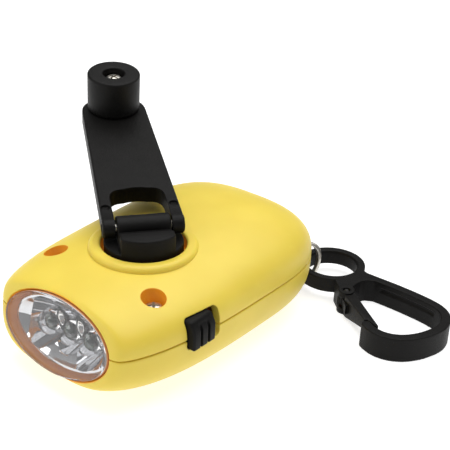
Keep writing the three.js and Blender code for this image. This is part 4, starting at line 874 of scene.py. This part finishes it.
# Carabiner: one black moulding, a hook with a round eye, a tall thin band bent into a D, a fork for its
# gate and a shallow groove along the inner side of the spine. Every edge and corner is softly rounded.
HOOK = Matrix.Translation((*EYE, 0)) @ Matrix.Rotation(math.radians(71), 4, "Z")
PIVOT = (13.8, -5.6)
path = [(6.6, 3), (12, 4.9), (15.8, 6.3), (20.4, 7.9), (26.3, 9.6), (30, 10.4), (32.7, 10.6), (35.3, 10.1)]
path += [(37.4, 8.9), (39.3, 6.8), (40.6, 4), (41.1, -0.2), (40.6, -4.4), (39.4, -7.6), (37.4, -10.1)]
path += [(34.9, -11.6), (32.3, -12.1), (29.9, -11.9)]
BAND_HALF, BAND_HEIGHT, EYE_RADIUS, EYE_HOLE_RADIUS, EYE_LOW, FORK_RADIUS = 1.3, 6.8, 9.5, 7.2, 2.5, 2.3
FORK_GAP_LOW, FORK_GAP_HIGH, KNUCKLE_ROOM, PIN_ROOM = 1.8, 5.0, 2.2, 1.0
SKIN_GRAIN, SKIN_ROUNDS = 0.16, 5


def smooth_path(points, steps=136):
    """Points and unit tangents of a centripetal curve through the points."""
    before = tuple(2 * a - b for a, b in zip(points[0], points[1]))
    after = tuple(2 * a - b for a, b in zip(points[-1], points[-2]))
    knots = [Vector(p) for p in [before, *points, after]]
    spans, result = len(points) - 1, []
    for step in range(steps + 1):
        at = step / steps * spans
        index = min(int(at), spans - 1)
        p0, p1, p2, p3 = knots[index:index + 4]
        t0 = 0.0
        t1 = t0 + (p1 - p0).length ** 0.5
        t2 = t1 + (p2 - p1).length ** 0.5
        t3 = t2 + (p3 - p2).length ** 0.5
        t = t1 + (t2 - t1) * (at - index)
        a1 = p0 * ((t1 - t) / (t1 - t0)) + p1 * ((t - t0) / (t1 - t0))
        a2 = p1 * ((t2 - t) / (t2 - t1)) + p2 * ((t - t1) / (t2 - t1))
        a3 = p2 * ((t3 - t) / (t3 - t2)) + p3 * ((t - t2) / (t3 - t2))
        b1 = a1 * ((t2 - t) / (t2 - t0)) + a2 * ((t - t0) / (t2 - t0))
        b2 = a2 * ((t3 - t) / (t3 - t1)) + a3 * ((t - t1) / (t3 - t1))
        result.append(b1 * ((t2 - t) / (t2 - t1)) + b2 * ((t - t1) / (t2 - t1)))
    tangents = [(result[min(i + 1, steps)] - result[max(i - 1, 0)]).normalized() for i in range(steps + 1)]
    return result, tangents


centres, tangents = smooth_path(path)


def band(name, left, right, low, high):
    """The band between two offsets from the hook's centre line."""
    near = [(p.x - right * t.y, p.y + right * t.x) for p, t in zip(centres, tangents)]
    far = [(p.x - left * t.y, p.y + left * t.x) for p, t in zip(centres, tangents)]
    return prism(name, near + far[::-1], low, high)


def softened(shape, grain, rounds, smooth_degrees=50):
    """Rebuilds a moulding as an even skin and relaxes it, so that all of its edges and corners run round."""
    skin = shape.modifiers.new("skin", "REMESH")
    skin.mode = "VOXEL"
    skin.voxel_size = grain * MM
    relax = shape.modifiers.new("relax", "SMOOTH")
    relax.factor = 0.5
    relax.iterations = rounds
    return worked(shape, smooth_degrees)


hook = band("hook", BAND_HALF, -BAND_HALF, 0, BAND_HEIGHT)
groove_zone = block("groove_zone", (15.8, 0, 0), (32.7, 20, 9))
groove = joined(band("groove", -0.9, -3.3, 3.9, 5.2), groove_zone, operation="INTERSECT")
neck_plan = [(8.4, -5.4), (12.6, -7.2), (13.8, -3.6), (12.8, -1.6), (12.3, 0.4), (12.5, 2.4), (14, 4.2)]
neck = prism("neck", neck_plan + [(16.8, 5.6), (8, 5.4)], 0, BAND_HEIGHT)
nose = rod("nose", BAND_HALF, 0, BAND_HEIGHT, *path[-1], 48)
eye = rod("eye", EYE_RADIUS, EYE_LOW, BAND_HEIGHT, sides=128)
fork = rod("fork", FORK_RADIUS, 0, BAND_HEIGHT, *PIVOT)
hook = joined(hook, nose, neck, eye, fork)
hole_side = [(0, -2), (EYE_HOLE_RADIUS, -2), (EYE_HOLE_RADIUS, 6.3), (EYE_HOLE_RADIUS + 0.3, 6.75)]
hole_side += [(8, 9), (0, 9)]
gate_plan = [(13.8, -7.8), (17.7, -9.5), (17.7, -1.7), (13.8, -3.4)]
hook = cut(
    hook,
    groove,
    turned("eye_hole", hole_side, sides=128),
    rod("under_eye", EYE_RADIUS + 0.3, -2, EYE_LOW, sides=96),
    rod("knuckle_room", KNUCKLE_ROOM, FORK_GAP_LOW, FORK_GAP_HIGH, *PIVOT),
    prism("gate_room", gate_plan, FORK_GAP_LOW, FORK_GAP_HIGH),
    rod("pin_room", PIN_ROOM, -2, 8, *PIVOT, 32),
)
hook = softened(hook, SKIN_GRAIN, SKIN_ROUNDS)
dress(moved(hook, HOOK), BLACK, "carabiner", "carabiner_frame")

# Gate: a slim black moulded bar that turns on a steel pin in the fork and shuts against the hook's nose.
# Its underside rises towards the nose.
LEAF_LOW, LEAF_HIGH, LEAF_CLEAR, LEAF_EDGE = 0.3, 6.5, 2.6, 0.35
RISE_X, RISE_ANGLE = 17, math.radians(-17)
GATE_KNUCKLE_RADIUS, GATE_KNUCKLE_LOW, GATE_KNUCKLE_HIGH = 1.6, 2.1, 4.7
leaf_plan = [(15.2, -4.4), (32, -9.6), (32.2, -10.2), (28.3, -10.1), (27.9, -10.9), (15.6, -7.6)]
leaf = prism("gate_leaf", leaf_plan, LEAF_LOW, LEAF_HIGH)
rise = Matrix.Translation((RISE_X, 0, LEAF_LOW)) @ Matrix.Rotation(RISE_ANGLE, 4, "Y")
underside = moved(block("underside", (0, -FAR, -20), (FAR, FAR, 0)), rise)
leaf = rounded(cut(leaf, rod("leaf_clear", LEAF_CLEAR, -1, 8, *PIVOT, 96), underside), LEAF_EDGE)
neck_plan = [(13.8, -6.9), (18.1, -9.2), (18.1, -5.6), (13.8, -4.3)]
gate_neck = prism("gate_neck", neck_plan, GATE_KNUCKLE_LOW, GATE_KNUCKLE_HIGH)
knuckle = rod("gate_knuckle", GATE_KNUCKLE_RADIUS, GATE_KNUCKLE_LOW, GATE_KNUCKLE_HIGH, *PIVOT)
gate = cut(joined(leaf, knuckle, gate_neck), rod("gate_bore", PIN_ROOM, -2, 8, *PIVOT, 32))
dress(moved(gate, HOOK), BLACK, "gate", "carabiner_gate")


def black_steel(place):
    """Blackened steel, a little worn."""
    wear = place.noise(0.5, 4, 0.7)
    colour = wear.mix((0.02, 0.02, 0.02, 1), (0.09, 0.088, 0.085, 1))
    return {"Base Color": colour, "Roughness": 0.3 + wear * 0.2}


BLACK_STEEL = finish("black_steel", {"Metallic": 1.0}, black_steel)
pin_side = [(0, 0), (0.6, 0), (0.7, 0.1), (0.7, 6.4), (0.5, 6.6), (0, 6.6)]
gate_pin = turned("gate_pin_wire", pin_side, *PIVOT, 32)
dress(moved(gate_pin, HOOK), BLACK_STEEL, "carabiner", "gate_pin")


# Inside: gears of natural white acetal on ground pins, a small generator, a green board with the slide
# switch, and three button cells. They keep their CAD shapes.
def white_acetal(place):
    """Natural acetal, waxy and a little cloudy."""
    cloud = place.noise(3, 3)
    return {
        "Base Color": cloud.mix((0.80, 0.79, 0.74, 1), (0.86, 0.85, 0.82, 1)),
        "Roughness": 0.35 + cloud * 0.15,
        "Normal": place.noise(0.4, 2).raised(0.01),
    }


def green_board(place):
    """Solder-masked laminate with copper traces under it."""
    inputs = {"Vector": place, "Scale": 450.0}
    mask = place.node("ShaderNodeTexVoronoi", {"feature": "DISTANCE_TO_EDGE"}, inputs).band(0.06, 0.09)
    return {
        "Base Color": mask.mix((0.05, 0.22, 0.08, 1), (0.02, 0.12, 0.04, 1)),
        "Roughness": 0.3 + place.noise(0.5, 3) * 0.15,
        "Normal": mask.raised(0.03),
    }


def copper_turns(place):
    """Enamelled wire, its turns raised in rows round the sleeve, with painted shade and highlight."""
    inputs = {"Vector": place, "Scale": 900.0, "Distortion": 0.4}
    rows = place.node("ShaderNodeTexWave", {"bands_direction": "Z"}, inputs)
    return {
        # Painted shade and highlight: the copper is darker in the grooves between turns and brighter on their
        # crests.
        "Base Color": rows.mix((0.30, 0.09, 0.03, 1), (0.72, 0.30, 0.12, 1)),
        "Roughness": 0.25 + place.noise(0.6, 2) * 0.2,
        "Normal": rows.raised(0.08),
    }


def magnet_black(place):
    """Pressed magnet powder in a resin binder."""
    grit = place.noise(0.3, 4, 0.7)
    colour = grit.mix((0.02, 0.02, 0.024, 1), (0.09, 0.09, 0.1, 1))
    return {"Base Color": colour, "Roughness": 0.45 + grit * 0.2, "Normal": grit.raised(0.02)}


ACETAL = finish("white_acetal", {"Subsurface Weight": 0.1, "Subsurface Scale": MM}, white_acetal)
BOARD = finish("green_board", {"IOR": 1.5}, green_board)
COPPER = finish("copper_turns", {"Metallic": 0.8}, copper_turns)
MAGNET = finish("magnet_black", {"Metallic": 0.3}, magnet_black)
INSIDE = {
    "drive_gear": ACETAL,
    "first_compound_gear": ACETAL,
    "second_compound_gear": ACETAL,
    "switch_body": ACETAL,
    "main_board": BOARD,
    "led_board": BOARD,
    "coil": COPPER,
    "magnet_rotor": MAGNET,
    "lanyard_bar": STEEL,
    "rotor_screw": STEEL,
    "hinge_pin": STEEL,
    "first_axle": STEEL,
    "second_axle": STEEL,
    "generator_shaft": STEEL,
    "stator_cup": STEEL,
    "button_cell_1": STEEL,
    "button_cell_2": STEEL,
    "button_cell_3": STEEL,
}
for node, material in INSIDE.items():
    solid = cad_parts[node]
    for index in range(len(solid.material_slots)):
        solid.material_slots[index].material = material

# Studio: a pale light table, one large soft light above, a smaller one from the left, and the camera
# where the photograph was taken from.
FLOOR_HALF = 3
corners = [(x * FLOOR_HALF, y * FLOOR_HALF, 0) for x, y in ((-1, -1), (1, -1), (1, 1), (-1, 1))]
floor = bpy.data.meshes.new("floor")
floor.from_pydata(corners, [], [(0, 1, 2, 3)])
ground = bpy.data.objects.new("floor", floor)
bpy.context.scene.collection.objects.link(ground)


def white_sweep(place):
    """Matte white paper."""
    tooth = place.noise(3, 3)
    colour = tooth.mix((0.52, 0.52, 0.52, 1), (0.55, 0.55, 0.55, 1))
    return {"Base Color": colour, "Roughness": 0.8 + tooth * 0.1}


table_glow = {"Specular IOR Level": 0.1, "Emission Color": (1, 1, 1, 1), "Emission Strength": 0.72}
floor.materials.append(finish("white_sweep", table_glow, white_sweep))


def soft_light(name, place, aim, size, power):
    """A square white softbox that points at a spot on the object."""
    light = bpy.data.lights.new(name, "AREA")
    light.shape = "SQUARE"
    light.size = size
    light.energy = power
    lamp = bpy.data.objects.new(name, light)
    lamp.location = place
    lamp.rotation_euler = (Vector(aim) - Vector(place)).to_track_quat("-Z", "Y").to_euler()
    bpy.context.scene.collection.objects.link(lamp)


CENTRE = (-0.01, 0.0, 0.015)
soft_light("top_light", (-0.15, 0.0, 0.75), CENTRE, 0.9, 7.4)
soft_light("left_light", (0.55, -0.35, 0.35), CENTRE, 0.35, 1.2)
world = bpy.data.worlds.new("studio")
world.use_nodes = True
world.node_tree.nodes["Background"].inputs["Color"].default_value = (1, 1, 1, 1)
world.node_tree.nodes["Background"].inputs["Strength"].default_value = 0.22
bpy.context.scene.world = world
bpy.context.scene.view_settings.view_transform = "Standard"

forward = Vector((-0.70108, -0.54936, -0.45456)).normalized()
upward = Vector((-0.333, -0.312, 0.890))
right = forward.cross(upward).normalized()
upward = right.cross(forward)
camera = bpy.data.objects.new("camera", bpy.data.cameras.new("camera"))
camera.data.sensor_width = 36
camera.data.lens = 76
camera.data.clip_start = 0.01
camera_turn = Matrix((right, upward, -forward)).transposed().to_4x4()
camera.matrix_world = Matrix.Translation((0.1517, 0.1443, 0.1396)) @ camera_turn
bpy.context.scene.collection.objects.link(camera)
bpy.context.scene.camera = camera
